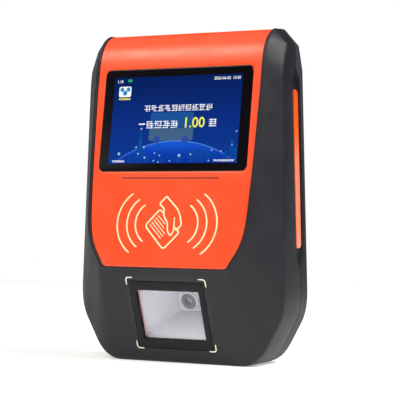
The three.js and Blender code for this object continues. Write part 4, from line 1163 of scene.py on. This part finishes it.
# each piece of the picture: its layer, its ink, and the shapes that it is made of
pictureShapes = {
    "sky": (1, "sky", (plateAt, -half, half, low, high)),
    "hill_rim": (3, "hill_rim", (hillAt, picture["hillRim"])),
    "hill": (4, "hill", (hillAt, 0.0)),
    "coach_body": (5, "coach_body", (plateAt, -20.4, 16.2, 92.6, 103.0, 1.6)),
    "coach_windows": (6, "coach_windows", (plateAt, -20.0, 15.8, 101.4, 113.4, 1.4)),
    "coach_wheels": (7, "coach_wheels", (discAt, -13.6, 93.4, 2.9, 24), (discAt, 10.0, 93.4, 2.9, 24)),
    "skyline": (5, "skyline", (skylineAt,)),
    "lights": (8, "lights", *((discAt, *spot) for spot in (
        (-44.7, 83.2, 1.15), (-28.3, 83.1, 0.7), (-22.5, 80.2, 0.75), (-14.4, 83.5, 0.6), (-10.1, 81.8, 0.6),
        (6.2, 81.6, 1.15), (-1.4, 77.8, 0.6), (-10.9, 76.9, 0.6), (-14.8, 77.9, 0.6), (-27.1, 101.5, 0.8),
        (-30.4, 87.9, 0.7), (-23.8, 88.0, 0.85), (15.5, 82.4, 0.7), (32.5, 85.2, 0.6), (40.2, 84.4, 0.6),
        (30.6, 77.6, 0.55), (51.4, 98.6, 0.6), (48.6, 89.0, 0.5)))),
    "words": (9, "white", (wordsAt, -25.9, 114.0, 5.1, 10, 0.5), (plateAt, -29.6, -24.2, 104.5, 105.5, 0.2),
              (wordsAt, -23.2, 101.4, 6.1, 4, 0.6), (wordsAt, 28.6, 102.0, 6.2, 1, 0.6)),
    "fare": (9, "yellow", (numbersAt, "1.00", 10.6, 7.2, 102.0)),
    "clock": (9, "white", (numbersAt, "2022-06-02  15:30", 2.9, 51.9, 136.4, "RIGHT")),
    "count": (9, "white", (numbersAt, "1.18", 2.9, -50.9, 136.2)),
    "small_words": (9, "white", (wordsAt, -50.2, 76.8, 1.6, 6, 0.24), (wordsAt, 34.5, 77.0, 1.5, 10, 0.24)),
    "tile": (9, "white", (plateAt, -48.8, -38.4, 125.6, 133.4, 1.4)),
    "tile_spots": (10, "tile_blue", (discAt, -46.3, 131.2, 1.7, 20), (discAt, -40.9, 131.2, 1.7, 20),
                   (discAt, -43.6, 128.6, 1.9, 20)),
    "tile_caption": (9, "yellow", (wordsAt, -48.6, 123.3, 1.5, 6, 0.28)),
    "charge_mark": (9, "green", (plateAt, -41.8, -38.6, 136.7, 138.7, 0.4),
                    (plateAt, -38.5, -38.0, 137.2, 138.2, 0.1)),
}


def makePicture():
    inks = {name: litInk(name, *values) for name, values in inkValues.items()}
    for name, (layer, ink, *shapes) in pictureShapes.items():
        bm = bmesh.new()
        for addShape, *values in shapes:
            addShape(bm, *values)
        for v in bm.verts:
            v.co.z = layer * picture["layer"] + (picture["plate"] if v.co.z > 0 else 0)
        placed(bm, onScreen)
        bmesh.ops.recalc_face_normals(bm, faces=bm.faces)
        finishPiece(bm, "display_" + name, "screen", material=inks[ink], angle=40)


print("display: the lit picture")
makePicture()


# Camera, floor and soft light
view = {
    "lens": 143.2,
    "sensorWidth": 36,
    "clip": (0.05, 20),
    "place": (0.574316, -1.013778, 0.129766),
    "turn": (89.423, 0, 28.979),
}
camera = addObject("camera", bpy.data.cameras.new("camera"))
camera.data.lens = view["lens"]
camera.data.sensor_width = view["sensorWidth"]
camera.data.clip_start, camera.data.clip_end = view["clip"]
camera.location = view["place"]
camera.rotation_euler = [math.radians(angle) for angle in view["turn"]]
bpy.context.scene.camera = camera

# The room that the box mirrors: pale panels overhead and on the left, dark behind the camera.
# A fade runs between two values of a direction's X or Z.
studio = {
    "dark": 0.05,
    "left": 0.7,
    "leftFade": (-0.5, -0.85),
    "leftHigh": 0.2,            # how much of the left panel is still there above its fade
    "leftHighFade": (0.15, 0.45),
    "ceiling": 0.5,
    "ceilingFade": (0.62, 0.9),
    "floorGlow": 0.42,
    "floorHalf": 0.75,
    "floorTones": ((0.86, 0.86, 0.87), (0.9, 0.9, 0.905)),
}
# each soft box: where it stands, what it aims at, its size in metres, its power and its colour
softBoxes = {
    "key": ((0.35, -1.7, 1.5), (0, 0, 0.12), (1.2, 0.8), 17.0, (1, 1, 1)),
    "top": ((-0.64, -0.72, 1.1), (0, 0, 0.22), (0.36, 0.36), 6.5, (1.0, 0.93, 0.78)),
    "right": ((1.04, -0.07, 1.1), (0.08, 0, 0.23), (0.5, 0.5), 22.0, (1, 1, 1)),
}


def makeFloor():
    bm = bmesh.new()
    bmesh.ops.create_grid(bm, x_segments=8, y_segments=8, size=studio["floorHalf"])
    floor = addObject("floor", meshFrom(bm, "floor"))
    paper = surface("pale_floor", studio["floorTones"], (0.75, 0.85), 3.0, 0.0)
    setInputs(shaderOf(paper), {"Emission Color": (1, 1, 1, 1), "Emission Strength": studio["floorGlow"]})
    floor.data.materials.append(paper)


def makeSoftBox(name, place, aim, size, power, colour):
    lamp = bpy.data.lights.new(name, "AREA")
    lamp.shape, lamp.size, lamp.size_y, lamp.energy = "RECTANGLE", *size, power
    lamp.color = colour
    made = addObject(name, lamp)
    made.location = place
    made.rotation_euler = (Vector(aim) - Vector(place)).to_track_quat("-Z", "Y").to_euler()


def makeRoom():
    world = bpy.data.worlds.new("studio")
    world.use_nodes = True
    bpy.context.scene.world = world
    nodes, links = world.node_tree.nodes, world.node_tree.links

    def fade(source, ends, low, high):
        made = nodes.new("ShaderNodeMapRange")
        made.interpolation_type = "SMOOTHSTEP"
        setInputs(made, {"From Min": ends[0], "From Max": ends[1], "To Min": low, "To Max": high})
        links.new(source, made.inputs["Value"])
        return made.outputs["Result"]

    def combine(operation, first, second):
        made = nodes.new("ShaderNodeMath")
        made.operation = operation
        links.new(first, made.inputs[0])
        links.new(second, made.inputs[1])
        return made.outputs["Value"]

    parts, path = nodes.new("ShaderNodeSeparateXYZ"), nodes.new("ShaderNodeLightPath")
    links.new(nodes.new("ShaderNodeTexCoord").outputs["Generated"], parts.inputs["Vector"])
    across, up = parts.outputs["X"], parts.outputs["Z"]
    left = fade(across, studio["leftFade"], studio["dark"], studio["left"])
    lower = fade(up, studio["leftHighFade"], 1.0, studio["leftHigh"])
    ceiling = fade(up, studio["ceilingFade"], 0.0, studio["ceiling"])
    room = combine("ADD", combine("MULTIPLY", left, lower), ceiling)
    # what the box mirrors is the room, and what the camera sees behind it is white
    shades = [nodes["Background"], nodes.new("ShaderNodeBackground")]
    for shade in shades:
        setInputs(shade, {"Color": (1, 1, 1, 1)})
    links.new(room, shades[0].inputs["Strength"])
    mix = nodes.new("ShaderNodeMixShader")
    links.new(path.outputs["Is Camera Ray"], mix.inputs["Fac"])
    links.new(shades[0].outputs["Background"], mix.inputs[1])
    links.new(shades[1].outputs["Background"], mix.inputs[2])
    links.new(mix.outputs["Shader"], nodes["World Output"].inputs["Surface"])


print("studio: camera, floor, room and soft boxes")
makeFloor()
makeRoom()
bpy.context.scene.view_settings.view_transform = "Standard"
for name, values in softBoxes.items():
    makeSoftBox(name, *values)
